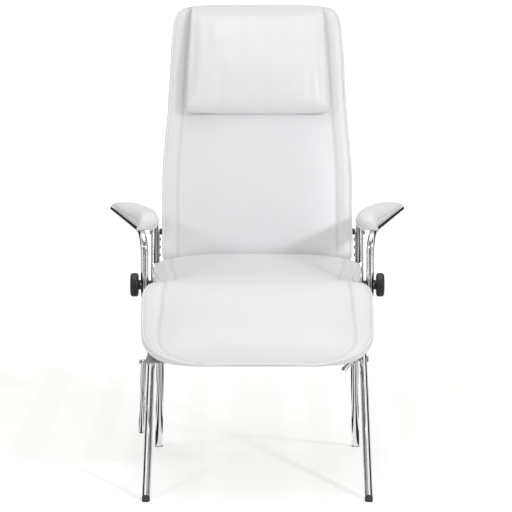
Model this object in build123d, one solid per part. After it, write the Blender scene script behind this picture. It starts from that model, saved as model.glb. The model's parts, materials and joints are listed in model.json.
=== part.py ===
from build123d import *
import os
from math import acos, cos, degrees, radians, sin, tan

os.makedirs("parts", exist_ok=True)

# Reclining lounge armchair on crossed tube legs. Millimetres, +Z up, the chair faces -Y.
# The side frames, the seat and the floor share one layout. "left" is -X, seen from the front.

# Play and stock sizes
FIT = 0.05             # radial play of pins, studs and plugs
GAP = 0.3              # air between faces that pass each other
TUBE = 18.0            # leg and arm tubes, outside
WALL = 1.5
PROP_TUBE = 12.0       # prop legs of the leg rest, outside
PROP_WALL = 1.2
BAR = 14.0             # cross bars
WASHER = 1.0           # on the crossing bolts
CROSS_AIR = 2.5        # between the crossing tubes
CROSS_NUT = 4.0        # thickness of the nuts on the crossing bolts
SHEET = 3.0            # steel side plates, ears and rails
PIN = 10.0             # pivot pins of the back and the leg rest, and the clamp studs
HINGE_PIN = 8.0        # pins between seat and back, and the crossing bolts
SCREW = 5.0
HEAD = 3.5             # height of screw and pin heads

# Side frames
FRONT_FOOT_Y = -290.0
REAR_FOOT_Y = 290.0
FRONT_LEG_X = 248.0
REAR_FOOT_X = 241.0
POST_BEND_Y = 262.0
POST_BEND_Z = 425.0
POST_BEND_RADIUS = 90.0
PIVOT_Y = 289.0        # back pivot, on the post
PIVOT_Z = 530.0
POST_OVER = 15.0       # post above the pivot
FOOT_TIP = 10.0
PLUG = 18.0            # length of tips and caps inside a tube
CAP = 4.0              # arm end caps outside the tube
CROSSING_RADIUS = 60.0
RISER_Y = -110.0       # upright part of the arm tube, which carries the clamp knob
RISER_X = 255.5
RISER_FOOT_Z = 430.0
ARM_CORNER_Z = 578.0
ARM_END = (341.5, 200.0, 596.0)
RISER_RADIUS = 60.0
ARM_RADIUS = 52.0
FRONT_BAR_SHARE = 0.38  # place of the front cross bar between the crossing and the riser
REAR_BAR_Y = 175.0

# Arm pads
PAD_START = 22.0       # from the arm's front corner, along the tube
PAD_TAIL = 18.0        # tube left bare behind the pad
PAD_OUT = 10.0         # outer edge of the pad, from the tube's axis
PAD_HALF = 35.0
PAD_THICK = 34.0
PAD_FOOT = 3.0         # sides drawn in at the base
PAD_END = 18.0         # rounded ends
PAD_LIFT = 0.4         # more air over the bend, for the straight runs between sections
ARM_BOARD = 4.0        # sunk into the pad
ARM_BOARD_WIDTH = 24.0
ARM_BOARD_SHIFT = 7.0  # towards the sitter
ARM_SCREW_INSET = 70.0

# Clamp knobs
CLAMP_Z = 459.0
KNOB = 54.0
KNOB_THICK = 18.5
KNOB_HUB = 22.0
KNOB_HUB_LENGTH = 4.5
KNOB_EDGE = 6.0
BUSH = 20.0            # spacer between arm tube and side plate
CLAMP_NUT = 18.0
CLAMP_NUT_THICK = 3.6

# Back
BACK_LEAN = 16.0
LINK = 100.0           # from the pivot down to the hinge of the seat
RECLINE = 30.0
BACK_TOP = 548.0       # along the back, from the pivot
BACK_BOTTOM = -74.0
BACK_BOARD = 10.0
BACK_BOARD_SET = 6.0   # rear face of the board in front of the pivot
BACK_HALF = 229.0      # at the pivot
BACK_HALF_TOP = 201.0
BACK_EDGE = 22.0       # cushion thickness at its edge, seam and crown
BACK_SEAM = 26.0
BACK_CROWN = 40.0
BACK_BORDER = 37.0     # width of the side borders
BACK_CORNER = 40.0     # rounded top corners
REAR_PAD = 20.0
REAR_PAD_BOTTOM = 34.0
BLOCK_LENGTH = 30.0    # bearing blocks
BLOCK_HEIGHT = 44.0
BLOCK_REAR = 13.0
BACK_SIDE = 227.0      # outer face of the bearing blocks
RAIL = 6.0
LUG = 6.0
LUG_X = 150.0
EYE = 11.0

# Peg strip of each post
STRIP_WIDTH = 14.0
STRIP_BELOW = 86.0
PEG = 8.0
PEG_HEIGHT = 3.0
PEG_PITCH = 19.0
PEGS = 3
PIVOT_BUSH = 15.0

# Seat
SEAT_FRONT = -108.0
SEAT_REAR = 212.0
SEAT_BASE = 420.0      # top of the seat board
SEAT_BOARD = 12.0
SEAT_WAIST = 226.5     # half width between the side plates
SEAT_HALF = 248.0      # half width behind the arm tubes
SEAT_WAIST_END = -36.0
SEAT_EDGE = 40.0
SEAT_SEAM = 45.0
SEAT_CROWN = 60.0
SEAT_BORDER = 38.0
SEAT_ROLL = 22.0       # rounding of the front and rear ends
PLATE_X = 233.0        # inner face of the side plates
PLATE_RIM = 11.0       # metal left round the slot and the hinge pin

# Leg rest
LEG_HINGE_Y = -150.0
LEG_HINGE_Z = 440.0
LEG_DROP = 35.0        # slope below the horizontal at rest
LEG_NOSE = 38.0        # radius of the roll over the hinge
LEG_LENGTH = 231.0
LEG_BASE = -10.0       # top of the board, from the hinge axis
LEG_BOARD = 12.0
LEG_NOSE_HALF = 225.0
LEG_HALF = 259.0
LEG_CORNER = 80.0
LEG_BORDER = 38.0
LEG_EDGE = 26.0
LEG_SEAM = 32.0
LEG_BOARD_HALF = 216.0
LEG_BOARD_TIP = 39.0   # from the tip of the cushion to the board
LEG_BOARD_SIDE = 20.0
LEG_BOARD_TAPER = 70.0
EAR_X = 228.0          # inner face of the hinge ears
EAR_EYE = 14.0
EAR_FLANGE = 38.0

# Prop legs of the leg rest
PROP_AT = 175.0        # along the leg rest, from the hinge
PROP_DEPTH = 34.0      # below the hinge axis, square to the leg rest
PROP_LENGTH = 404.0
PROP_TIP_LENGTH = 7.0
PROP_PIN = 6.0
LEFT_PROP_X = 251.5
LEFT_PROP_SPLAY = 3.1
LEFT_PROP_ANGLE = 34.3  # below the horizontal at rest
RIGHT_PROP_X = 206.0
RIGHT_PROP_ANGLE = 12.7
PROP_RAIL_WIDTH = 30.0

# Head pillow
PILLOW_BOTTOM = 284.0  # along the back, from the pivot
PILLOW_HALF = 168.0
PILLOW_THICK = 36.0
PILLOW_OVER = 9.0      # over the top of the back
PILLOW_FLAP = 12.0
PILLOW_FLAP_LENGTH = 110.0
PILLOW_ROLL = 26.0

bore = TUBE - 2 * WALL
pivot = Vector(0, PIVOT_Y, PIVOT_Z)
clamp = Vector(0, RISER_Y, CLAMP_Z)
leg_hinge = Vector(0, LEG_HINGE_Y, LEG_HINGE_Z)
lean = radians(BACK_LEAN)
drop = radians(LEG_DROP)
back_plane = Plane(origin=pivot, x_dir=(1, 0, 0), z_dir=(0, -cos(lean), sin(lean)))
leg_plane = Plane(origin=leg_hinge, x_dir=(1, 0, 0), z_dir=(0, -sin(drop), cos(drop)))
link_hinge = back_plane.from_local_coords((0, -LINK, 0))


def rod(x0, x1, y, z, diameter):
    """Round bar along X."""
    return Pos((x0 + x1) / 2, y, z) * Rot(0, 90, 0) * Cylinder(diameter / 2, abs(x1 - x0))


def block(x0, x1, y0, y1, z0, z1):
    """Box between two corners."""
    return Pos((x0 + x1) / 2, (y0 + y1) / 2, (z0 + z1) / 2) * Box(abs(x1 - x0), y1 - y0, z1 - z0)


def side_sheet(face, x0, x1):
    """Face drawn in Y and Z, made solid from x0 to x1."""
    return extrude(Plane.YZ.offset(x0) * face, amount=x1 - x0)


def disc(y, z, radius):
    """Round face in Y and Z."""
    return Pos(y, z) * Circle(radius)


def hull(*faces):
    """Face round several faces, as a belt lies round pulleys."""
    return make_hull([edge for face in faces for edge in face.edges()])


def swept_rod(path, diameter):
    """Solid bar along a path."""
    return sweep(Plane(origin=path @ 0, z_dir=path % 0) * Circle(diameter / 2), path=path)


def axial(origin, direction, diameter, start, end):
    """Round bar along any direction, from start to end along it."""
    placed = Plane(origin=origin + direction * ((start + end) / 2), z_dir=direction)
    return placed.location * Cylinder(diameter / 2, end - start)


def flip(shape):
    """The same piece on the left side."""
    return mirror(shape, about=Plane.YZ)


def pair(right):
    """Both copies of a piece as one group."""
    return Compound([*right.solids(), *flip(right).solids()])


def padded_section(y, half, seam, base, edge, valley, crown):
    """Cross-section of an upholstered panel: drawn-in sides, two borders, a crowned centre."""
    tuck = 5.0
    lip = 3.0
    rise = 3.0
    foot = (half - tuck, base)
    rim = (half - lip, edge)
    groove = (seam, valley)
    swell = (half, base + 0.55 * (edge - base))
    shoulder = ((half + seam) / 2, (edge + valley) / 2 + rise)

    def left(point):
        return (-point[0], point[1])

    outline = [
        Line(left(foot), foot),
        ThreePointArc(foot, swell, rim),
        ThreePointArc(rim, shoulder, groove),
        ThreePointArc(groove, (0, crown), left(groove)),
        ThreePointArc(left(groove), left(shoulder), left(rim)),
        ThreePointArc(left(rim), left(swell), left(foot)),
    ]
    return Plane(origin=(0, y, 0), x_dir=(1, 0, 0), z_dir=(0, -1, 0)) * make_face(outline)


def panel(stations, border, base):
    """Upholstered panel lofted through (y, half width, edge, valley, crown) stations."""
    sections = [
        padded_section(y, half, half - border, base, base + edge, base + valley, base + crown)
        for y, half, edge, valley, crown in stations
    ]
    return loft(sections, ruled=True)


parts = {}

# Side frames. The front leg is one tube from the floor to the top of the post.
front_foot = Vector(FRONT_LEG_X, FRONT_FOOT_Y, 0)
post_bend = Vector(FRONT_LEG_X, POST_BEND_Y, POST_BEND_Z)
post_pivot = Vector(FRONT_LEG_X, PIVOT_Y, PIVOT_Z)
front_run = (post_bend - front_foot).normalized()
post_run = (post_pivot - post_bend).normalized()
post_top = post_pivot + post_run * POST_OVER
front_path = FilletPolyline(front_foot + front_run * FOOT_TIP, post_bend, post_top, radius=POST_BEND_RADIUS)

# The rear leg passes the front leg on the inside, then rises as the arm.
rear_foot = Vector(REAR_FOOT_X, REAR_FOOT_Y, 0)
riser_foot = Vector(RISER_X, RISER_Y, RISER_FOOT_Z)
front_slope = POST_BEND_Z / (POST_BEND_Y - FRONT_FOOT_Y)
rear_slope = riser_foot.Z / (REAR_FOOT_Y - RISER_Y)
cross_y = (rear_slope * REAR_FOOT_Y + front_slope * FRONT_FOOT_Y) / (front_slope + rear_slope)
cross_z = front_slope * (cross_y - FRONT_FOOT_Y)
cross_x = FRONT_LEG_X - TUBE - CROSS_AIR
crossing = Vector(cross_x, cross_y, cross_z)
rear_run = (crossing - rear_foot).normalized()
rise_run = (riser_foot - crossing).normalized()
arm_corner = Vector(RISER_X, RISER_Y, ARM_CORNER_Z)
arm_end = Vector(*ARM_END)
arm_run = (arm_end - arm_corner).normalized()
arm_length = (arm_end - arm_corner).length
rear_path = FilletPolyline(
    rear_foot + rear_run * FOOT_TIP, crossing, riser_foot, arm_corner, arm_end,
    radius=[CROSSING_RADIUS, RISER_RADIUS, ARM_RADIUS],
)
riser_out = RISER_X + TUBE / 2
riser_in = RISER_X - TUBE / 2

# Arm pads lie on the arm tube and reach from it towards the sitter, in their own frame along the arm.
# At the front they follow the bend of the tube.
pad_up = (Vector(0, 0, 1) - arm_run * arm_run.Z).normalized()
pad_plane = Plane(origin=arm_corner, x_dir=arm_run, z_dir=pad_up)
pad_stop = arm_length - PAD_TAIL
bend_start = ARM_RADIUS * tan(acos(arm_run.Z) / 2)
bend_axis = Axis(arm_corner + arm_run * bend_start - pad_up * ARM_RADIUS, arm_run.cross(pad_up))
arm_screw_places = (ARM_SCREW_INSET, pad_stop - ARM_SCREW_INSET)
board_top = TUBE / 2 + ARM_BOARD
arm_screws = [
    Pos(x, 0, 0) * (
        Pos(0, 0, (board_top - TUBE / 2) / 2) * Cylinder(SCREW / 2, board_top + TUBE / 2)
        + Pos(0, 0, -TUBE / 2 - HEAD / 4) * Cylinder(0.8 * SCREW, HEAD / 2))
    for x in arm_screw_places
]
arm_screw_holes = [Pos(x, 0, 0) * Cylinder(SCREW / 2 + FIT, 4 * TUBE) for x in arm_screw_places]
arm_board_start = bend_start + ARM_BOARD
arm_board_stop = pad_stop - 2 * PAD_END
arm_board_length = arm_board_stop - arm_board_start
board_spot = Pos((arm_board_start + arm_board_stop) / 2, ARM_BOARD_SHIFT, TUBE / 2)
arm_board = board_spot * Pos(0, 0, ARM_BOARD / 2) * Box(arm_board_length, ARM_BOARD_WIDTH, ARM_BOARD)
for hole in arm_screw_holes:
    arm_board -= hole


def pad_section(x, half, thick):
    """Cross-section of an arm pad at x along the tube, turned down with the tube in its bend."""
    foot = (half - PAD_FOOT, 0)
    swell = (half, 0.42 * thick)
    shoulder = (0.72 * half, 0.84 * thick)
    outline = [
        Line((-foot[0], 0), foot),
        ThreePointArc(foot, swell, shoulder),
        ThreePointArc(shoulder, (0, thick), (-shoulder[0], shoulder[1])),
        ThreePointArc((-shoulder[0], shoulder[1]), (-swell[0], swell[1]), (-foot[0], 0)),
    ]
    turn = max(0, bend_start - x) / ARM_RADIUS
    base = TUBE / 2 + GAP + (0 if x > bend_start else PAD_LIFT)
    spot = Plane(origin=(max(x, bend_start), half - PAD_OUT, base), x_dir=(0, 1, 0), z_dir=(1, 0, 0))
    return (pad_plane.location * (spot * make_face(outline))).rotate(bend_axis, degrees(turn))


pad_stations = [
    (PAD_START, 0.35 * PAD_HALF, 0.5 * PAD_THICK),
    (PAD_START + 0.17 * PAD_END, 0.54 * PAD_HALF, 0.75 * PAD_THICK),
    (PAD_START + 0.5 * PAD_END, 0.66 * PAD_HALF, 0.9 * PAD_THICK),
    (PAD_START + PAD_END, 0.73 * PAD_HALF, PAD_THICK),
    (bend_start, 0.76 * PAD_HALF, 0.99 * PAD_THICK),
    (bend_start + PAD_END, 0.79 * PAD_HALF, 0.96 * PAD_THICK),
    (0.36 * pad_stop, 0.88 * PAD_HALF, 0.82 * PAD_THICK),
    (0.55 * pad_stop, PAD_HALF, 0.62 * PAD_THICK),
    (0.75 * pad_stop, 0.95 * PAD_HALF, 0.48 * PAD_THICK),
    (pad_stop - 1.5 * PAD_END, 0.84 * PAD_HALF, 0.39 * PAD_THICK),
    (pad_stop - 0.7 * PAD_END, 0.68 * PAD_HALF, 0.33 * PAD_THICK),
    (pad_stop - 0.2 * PAD_END, 0.47 * PAD_HALF, 0.26 * PAD_THICK),
    (pad_stop, 0.3 * PAD_HALF, 0.17 * PAD_THICK),
]
arm_pad = loft([pad_section(*station) for station in pad_stations], ruled=True)
arm_pad -= pad_plane.location * board_spot * Box(
    arm_board_length + 2 * GAP, ARM_BOARD_WIDTH + 2 * GAP, 2 * ARM_BOARD + 2 * GAP / 3)

# Peg strip, pivot pin and bush on the inner side of each post, drawn in the post's own slope.
post_in = FRONT_LEG_X - TUBE / 2
post_plane = Plane(origin=(0, PIVOT_Y, PIVOT_Z), x_dir=(1, 0, 0), z_dir=Vector(1, 0, 0).cross(post_run))
peg_places = [-PEG_PITCH * (count + 1) for count in range(PEGS)]
strip = side_sheet(
    hull(disc(0, 0, STRIP_WIDTH / 2), disc(STRIP_WIDTH / 2 - STRIP_BELOW, 0, STRIP_WIDTH / 2)),
    post_in - SHEET, post_in)
strip -= rod(post_in - 2 * SHEET, post_in + SHEET, 0, 0, PIN + 2 * FIT)
pegs = []
peg_holes = []
for place in peg_places:
    head = rod(post_in - SHEET - PEG_HEIGHT, post_in - SHEET, place, 0, PEG)
    head = fillet(head.faces().sort_by(Axis.X)[0].edges(), 0.6 * PEG_HEIGHT)
    pegs.append(head + rod(post_in - SHEET, post_in + 3 * WALL, place, 0, SCREW))
    peg_holes.append(rod(post_in - 2 * SHEET, post_in + 4 * WALL, place, 0, SCREW + 2 * FIT))
for hole in peg_holes:
    strip -= hole
pin_head = rod(FRONT_LEG_X + TUBE / 2, FRONT_LEG_X + TUBE / 2 + HEAD, PIVOT_Y, PIVOT_Z, 1.5 * PIN)
pivot_pin = rod(BACK_SIDE - BLOCK_LENGTH + 2, FRONT_LEG_X + TUBE / 2, PIVOT_Y, PIVOT_Z, PIN) + pin_head
pivot_bush = rod(BACK_SIDE + GAP, post_in - SHEET, PIVOT_Y, PIVOT_Z, PIVOT_BUSH)
pivot_bush -= rod(BACK_SIDE, post_in, PIVOT_Y, PIVOT_Z, PIN + 2 * FIT)

# Bores through the tubes for the bolts, pins, pegs and studs
cross_hole = rod(0, 2 * FRONT_LEG_X, cross_y, cross_z, HINGE_PIN + 2 * FIT)
front_leg = swept_rod(front_path, TUBE) - swept_rod(front_path, bore) - cross_hole
front_leg -= rod(0, 2 * FRONT_LEG_X, PIVOT_Y, PIVOT_Z, PIN + 2 * FIT)
for hole in peg_holes:
    front_leg -= post_plane.location * hole
rear_leg = swept_rod(rear_path, TUBE) - swept_rod(rear_path, bore) - cross_hole
rear_leg -= rod(0, 2 * RISER_X, RISER_Y, CLAMP_Z, PIN + 2 * FIT)
for hole in arm_screw_holes:
    rear_leg -= pad_plane.location * hole


def foot_tip(floor_point, run):
    """Rubber plug that fills the tube end and stands flat on the floor."""
    tip = axial(floor_point, run, TUBE, -FOOT_TIP, FOOT_TIP)
    tip += axial(floor_point, run, bore - 2 * FIT, FOOT_TIP, FOOT_TIP + PLUG)
    return split(tip, bisect_by=Plane.XY, keep=Keep.TOP)


arm_cap = axial(arm_end, arm_run, TUBE, 0, CAP)
arm_cap = fillet(arm_cap.edges().sort_by(Axis.Y)[-1], 0.8 * CAP)
arm_cap += axial(arm_end, arm_run, bore - 2 * FIT, -PLUG, 0)
post_cap = axial(post_top, post_run, TUBE, 0, CAP)
post_cap = fillet(post_cap.edges().sort_by(Axis.Z)[-1], 0.8 * CAP)

bolt_end = cross_x - TUBE / 2 - CROSS_NUT - GAP
cross_bolt = rod(bolt_end, FRONT_LEG_X + TUBE / 2, cross_y, cross_z, HINGE_PIN)
cross_bolt += rod(FRONT_LEG_X + TUBE / 2, FRONT_LEG_X + TUBE / 2 + HEAD, cross_y, cross_z, 1.8 * HINGE_PIN)
cross_washer = rod(post_in - WASHER, post_in, cross_y, cross_z, 1.8 * HINGE_PIN)
cross_washer -= cross_hole
nut_face = disc(cross_y, cross_z, 0.9 * HINGE_PIN)
cross_nut = side_sheet(nut_face, cross_x - TUBE / 2 - CROSS_NUT, cross_x - TUBE / 2) - cross_hole


def cross_bar(centre, run):
    """Bar between two mirrored tubes, with its ends cut round to seat on them."""
    bar = rod(-centre.X, centre.X, centre.Y, centre.Z, BAR)
    seat = axial(centre, run, TUBE + 2 * FIT, -3 * TUBE, 3 * TUBE)
    return bar - seat - flip(seat)


front_bar = cross_bar(crossing + (riser_foot - crossing) * FRONT_BAR_SHARE, rise_run)
rear_bar_share = (REAR_BAR_Y - FRONT_FOOT_Y) / (POST_BEND_Y - FRONT_FOOT_Y)
rear_bar = cross_bar(front_foot + (post_bend - front_foot) * rear_bar_share, front_run)

for name, right in {
    "front_leg_post": front_leg,
    "rear_leg_arm": rear_leg,
    "arm_board": pad_plane.location * arm_board,
    "arm_pad": arm_pad,
    "pivot_pin": pivot_pin,
}.items():
    parts[f"right_{name}"] = right
    parts[f"left_{name}"] = flip(right)
parts["front_cross_bar"] = front_bar
parts["rear_cross_bar"] = rear_bar
parts["front_foot_tips"] = pair(foot_tip(front_foot, front_run))
parts["rear_foot_tips"] = pair(foot_tip(rear_foot, rear_run))
parts["arm_end_caps"] = pair(arm_cap)
parts["post_caps"] = pair(post_cap)
parts["crossing_bolts"] = pair(cross_bolt)
parts["crossing_washers"] = pair(cross_washer)
parts["crossing_nuts"] = pair(cross_nut)
parts["arm_pad_screws"] = pair(pad_plane.location * Compound(arm_screws))
parts["peg_strips"] = pair(post_plane.location * strip)
parts["pivot_bushes"] = pair(pivot_bush)
parts["pivot_pegs"] = pair(post_plane.location * Compound(pegs))

# Clamp knobs. The stud passes the arm tube, the spacer bush and the slot, and pulls on a nut.
disc_in = riser_out + GAP + KNOB_HUB_LENGTH
plate_out = PLATE_X + SHEET
stud_end = disc_in + 0.7 * KNOB_THICK
nut_in = PLATE_X - GAP - CLAMP_NUT_THICK
knob = rod(disc_in, disc_in + KNOB_THICK, RISER_Y, CLAMP_Z, KNOB)
knob = fillet(knob.edges().filter_by(GeomType.CIRCLE), KNOB_EDGE)
knob += rod(riser_out + GAP, disc_in, RISER_Y, CLAMP_Z, KNOB_HUB)
knob -= rod(riser_out, stud_end, RISER_Y, CLAMP_Z, PIN + 2 * FIT)
stud = rod(nut_in, stud_end, RISER_Y, CLAMP_Z, PIN)
clamp_bush = rod(plate_out + GAP, riser_in - GAP / 2, RISER_Y, CLAMP_Z, BUSH)
clamp_bush -= rod(PLATE_X, RISER_X, RISER_Y, CLAMP_Z, PIN + 2 * FIT)
clamp_nut = side_sheet(
    Pos(RISER_Y, CLAMP_Z) * RegularPolygon(CLAMP_NUT / 2, 6), nut_in, nut_in + CLAMP_NUT_THICK)
clamp_nut -= rod(nut_in - SHEET, PLATE_X, RISER_Y, CLAMP_Z, PIN + 2 * FIT)
for name, right in {
    "clamp_knob": knob,
    "clamp_stud": stud,
    "clamp_bush": clamp_bush,
    "clamp_nut": clamp_nut,
}.items():
    parts[f"right_{name}"] = right
    parts[f"left_{name}"] = flip(right)

# Seat. Its hinge with the back swings about the back pivot, so the slot is an arc of the same radius.
arm_of_link = link_hinge - pivot
slot_centre = clamp + arm_of_link
slot_arc = CenterArc((slot_centre.Y, slot_centre.Z), LINK, 90 - BACK_LEAN, -RECLINE)
slot_far = slot_arc @ 1
slot_width = PIN + 4 * GAP
slot_rim = slot_width / 2 + PLATE_RIM
flange_front = SEAT_FRONT + SEAT_ROLL
flange_rear = SEAT_WAIST_END + SEAT_ROLL
plate_bottom = SEAT_BASE - SEAT_BOARD - SHEET
plate_face = hull(
    disc(LEG_HINGE_Y, LEG_HINGE_Z, PIN / 2 + PLATE_RIM),
    disc(RISER_Y, CLAMP_Z, slot_rim),
    disc(slot_far.X, slot_far.Y, slot_rim),
    Pos((flange_front + flange_rear) / 2, plate_bottom + SHEET / 2)
    * Rectangle(flange_rear - flange_front, SHEET),
)
side_plate = side_sheet(plate_face, PLATE_X, plate_out)
side_plate -= side_sheet(SlotArc(slot_arc, slot_width), PLATE_X - SHEET, plate_out + SHEET)
side_plate -= rod(PLATE_X - SHEET, plate_out + SHEET, LEG_HINGE_Y, LEG_HINGE_Z, PIN + 2 * FIT)
side_plate += block(SEAT_WAIST - SEAT_BORDER, PLATE_X, flange_front, flange_rear,
                    plate_bottom, plate_bottom + SHEET)
plate_screw_x = SEAT_WAIST - SEAT_BORDER / 2
plate_screw_places = (flange_front + 2 * SCREW, flange_rear - 2 * SCREW)
plate_screws = []
for y in plate_screw_places:
    shank = Pos(plate_screw_x, y, SEAT_BASE - SEAT_BOARD / 2 - SHEET / 2) * Cylinder(
        SCREW / 2, SEAT_BOARD + SHEET)
    plate_screws.append(shank + Pos(plate_screw_x, y, plate_bottom - HEAD / 2) * Cylinder(SCREW, HEAD))
    side_plate -= Pos(plate_screw_x, y, plate_bottom) * Cylinder(SCREW / 2 + FIT, 4 * SHEET)

board_front = SEAT_FRONT + 0.5 * SEAT_ROLL
board_rear = SEAT_REAR - 0.3 * SEAT_ROLL
board_front_half = SEAT_WAIST - 8.0
board_rear_half = SEAT_HALF - 12.0
seat_board = Pos(0, 0, SEAT_BASE) * extrude(
    Polygon((-board_front_half, board_front), (board_front_half, board_front),
            (board_front_half, SEAT_WAIST_END), (board_rear_half, 0.5 * SEAT_REAR),
            (board_rear_half, board_rear), (-board_rear_half, board_rear),
            (-board_rear_half, 0.5 * SEAT_REAR), (-board_front_half, SEAT_WAIST_END), align=None),
    amount=-SEAT_BOARD)
for y in plate_screw_places:
    for x in (-plate_screw_x, plate_screw_x):
        seat_board -= Pos(x, y, SEAT_BASE) * Cylinder(SCREW / 2 + FIT, 4 * SEAT_BOARD)

lug_foot = SEAT_BASE - SEAT_BOARD
seat_lug_face = hull(
    disc(link_hinge.Y, link_hinge.Z, EYE),
    Pos(board_rear - 2 * EYE, lug_foot - EYE / 2) * Rectangle(3 * EYE, EYE),
)
seat_lug = side_sheet(seat_lug_face, LUG_X + GAP, LUG_X + GAP + LUG)
seat_lug -= block(0, SEAT_HALF, board_front, SEAT_REAR + 2 * GAP, lug_foot, SEAT_BASE + SEAT_CROWN)
link_bore = rod(0, SEAT_HALF, link_hinge.Y, link_hinge.Z, HINGE_PIN + 2 * FIT)
link_pin = rod(LUG_X - LUG, LUG_X + 2 * LUG, link_hinge.Y, link_hinge.Z, HINGE_PIN)
link_pin += rod(LUG_X - LUG - HEAD, LUG_X - LUG - GAP, link_hinge.Y, link_hinge.Z, 1.6 * HINGE_PIN)
link_pin += rod(LUG_X - LUG - GAP, LUG_X - LUG, link_hinge.Y, link_hinge.Z, HINGE_PIN)
leg_pin = rod(EAR_X, plate_out, LEG_HINGE_Y, LEG_HINGE_Z, PIN)
leg_pin += rod(plate_out, plate_out + HEAD, LEG_HINGE_Y, LEG_HINGE_Z, 1.6 * PIN)

seat_stations = [
    (SEAT_FRONT, SEAT_WAIST - 8, 0.62 * SEAT_EDGE, 0.6 * SEAT_SEAM, 0.55 * SEAT_CROWN),
    (SEAT_FRONT + 0.4 * SEAT_ROLL, SEAT_WAIST - 2, 0.9 * SEAT_EDGE, 0.86 * SEAT_SEAM, 0.8 * SEAT_CROWN),
    (SEAT_FRONT + SEAT_ROLL, SEAT_WAIST, SEAT_EDGE, 0.97 * SEAT_SEAM, 0.9 * SEAT_CROWN),
    (SEAT_WAIST_END, SEAT_WAIST, SEAT_EDGE, SEAT_SEAM, 0.93 * SEAT_CROWN),
    (0.45 * SEAT_REAR, SEAT_HALF - 6, SEAT_EDGE, SEAT_SEAM, 0.98 * SEAT_CROWN),
    (SEAT_REAR - SEAT_ROLL, SEAT_HALF, SEAT_EDGE, 1.04 * SEAT_SEAM, 1.1 * SEAT_CROWN),
    (SEAT_REAR - 0.4 * SEAT_ROLL, SEAT_HALF - 4, 0.92 * SEAT_EDGE, 0.97 * SEAT_SEAM, 1.05 * SEAT_CROWN),
    (SEAT_REAR, SEAT_HALF - 13, 0.6 * SEAT_EDGE, 0.66 * SEAT_SEAM, 0.78 * SEAT_CROWN),
]
parts["seat_board"] = seat_board
parts["seat_cushion"] = panel(seat_stations, SEAT_BORDER, SEAT_BASE + GAP / 3)
parts["right_side_plate"] = side_plate
parts["left_side_plate"] = flip(side_plate)
parts["side_plate_screws"] = pair(Compound(plate_screws))
parts["seat_hinge_lugs"] = pair(seat_lug - link_bore)
parts["seat_hinge_pins"] = pair(link_pin)
parts["leg_rest_pins"] = pair(leg_pin)

# Back, drawn flat: x across, y up along the back from the pivot, z towards the sitter.
board_face = BACK_BOARD_SET + BACK_BOARD
board_low = BACK_BOTTOM - RAIL
board_half = BACK_HALF - 14.0
board_top_half = BACK_HALF_TOP - 18.0
board_high = BACK_TOP - 8.0
back_board = Pos(0, 0, BACK_BOARD_SET) * extrude(
    Polygon((-board_half, board_low), (board_half, board_low), (board_half, 0.4 * board_high),
            (board_top_half, board_high), (-board_top_half, board_high),
            (-board_half, 0.4 * board_high), align=None),
    amount=BACK_BOARD)
back_block = block(BACK_SIDE - BLOCK_LENGTH, BACK_SIDE, -BLOCK_HEIGHT / 2, BLOCK_HEIGHT / 2,
                   -BLOCK_REAR, BACK_BOARD_SET)
back_block -= rod(0, 2 * BACK_SIDE, 0, 0, PIN + 2 * FIT)
block_screw_x = (BACK_SIDE - BLOCK_LENGTH + board_half) / 2
block_screws = []
for y in (-BLOCK_HEIGHT / 3, BLOCK_HEIGHT / 3):
    shank = Pos(block_screw_x, y, (board_face - BLOCK_REAR) / 2) * Cylinder(SCREW / 2, board_face + BLOCK_REAR)
    block_screws.append(shank + Pos(block_screw_x, y, -BLOCK_REAR - HEAD / 2) * Cylinder(SCREW, HEAD))
    back_block -= Pos(block_screw_x, y, 0) * Cylinder(SCREW / 2 + FIT, 4 * BLOCK_REAR)
    for x in (-block_screw_x, block_screw_x):
        back_board -= Pos(x, y, BACK_BOARD_SET) * Cylinder(SCREW / 2 + FIT, 4 * BACK_BOARD)
rail_face = Pos(board_low - RAIL / 2, BACK_BOARD_SET + BACK_BOARD / 2) * Rectangle(RAIL, BACK_BOARD)
back_lug = side_sheet(hull(disc(-LINK, 0, EYE), rail_face), LUG_X - LUG, LUG_X)
back_lug -= rod(0, SEAT_HALF, -LINK, 0, HINGE_PIN + 2 * FIT)
rail_half = LUG_X + 4 * LUG
back_rail = side_sheet(rail_face, -rail_half, rail_half) + back_lug + flip(back_lug)


def back_half(y):
    """Half width of the back at y: slightly barrel-shaped, narrower to the top."""
    share = max(0.0, (y - 0.2 * BACK_TOP) / (0.8 * BACK_TOP))
    return BACK_HALF - (BACK_HALF - BACK_HALF_TOP) * share


def corner_half(y, inset):
    """Half width inside the rounded top corners."""
    reach = BACK_CORNER - (BACK_TOP - y)
    return back_half(y) - inset - (BACK_CORNER - (BACK_CORNER**2 - max(0.0, reach)**2) ** 0.5)


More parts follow.
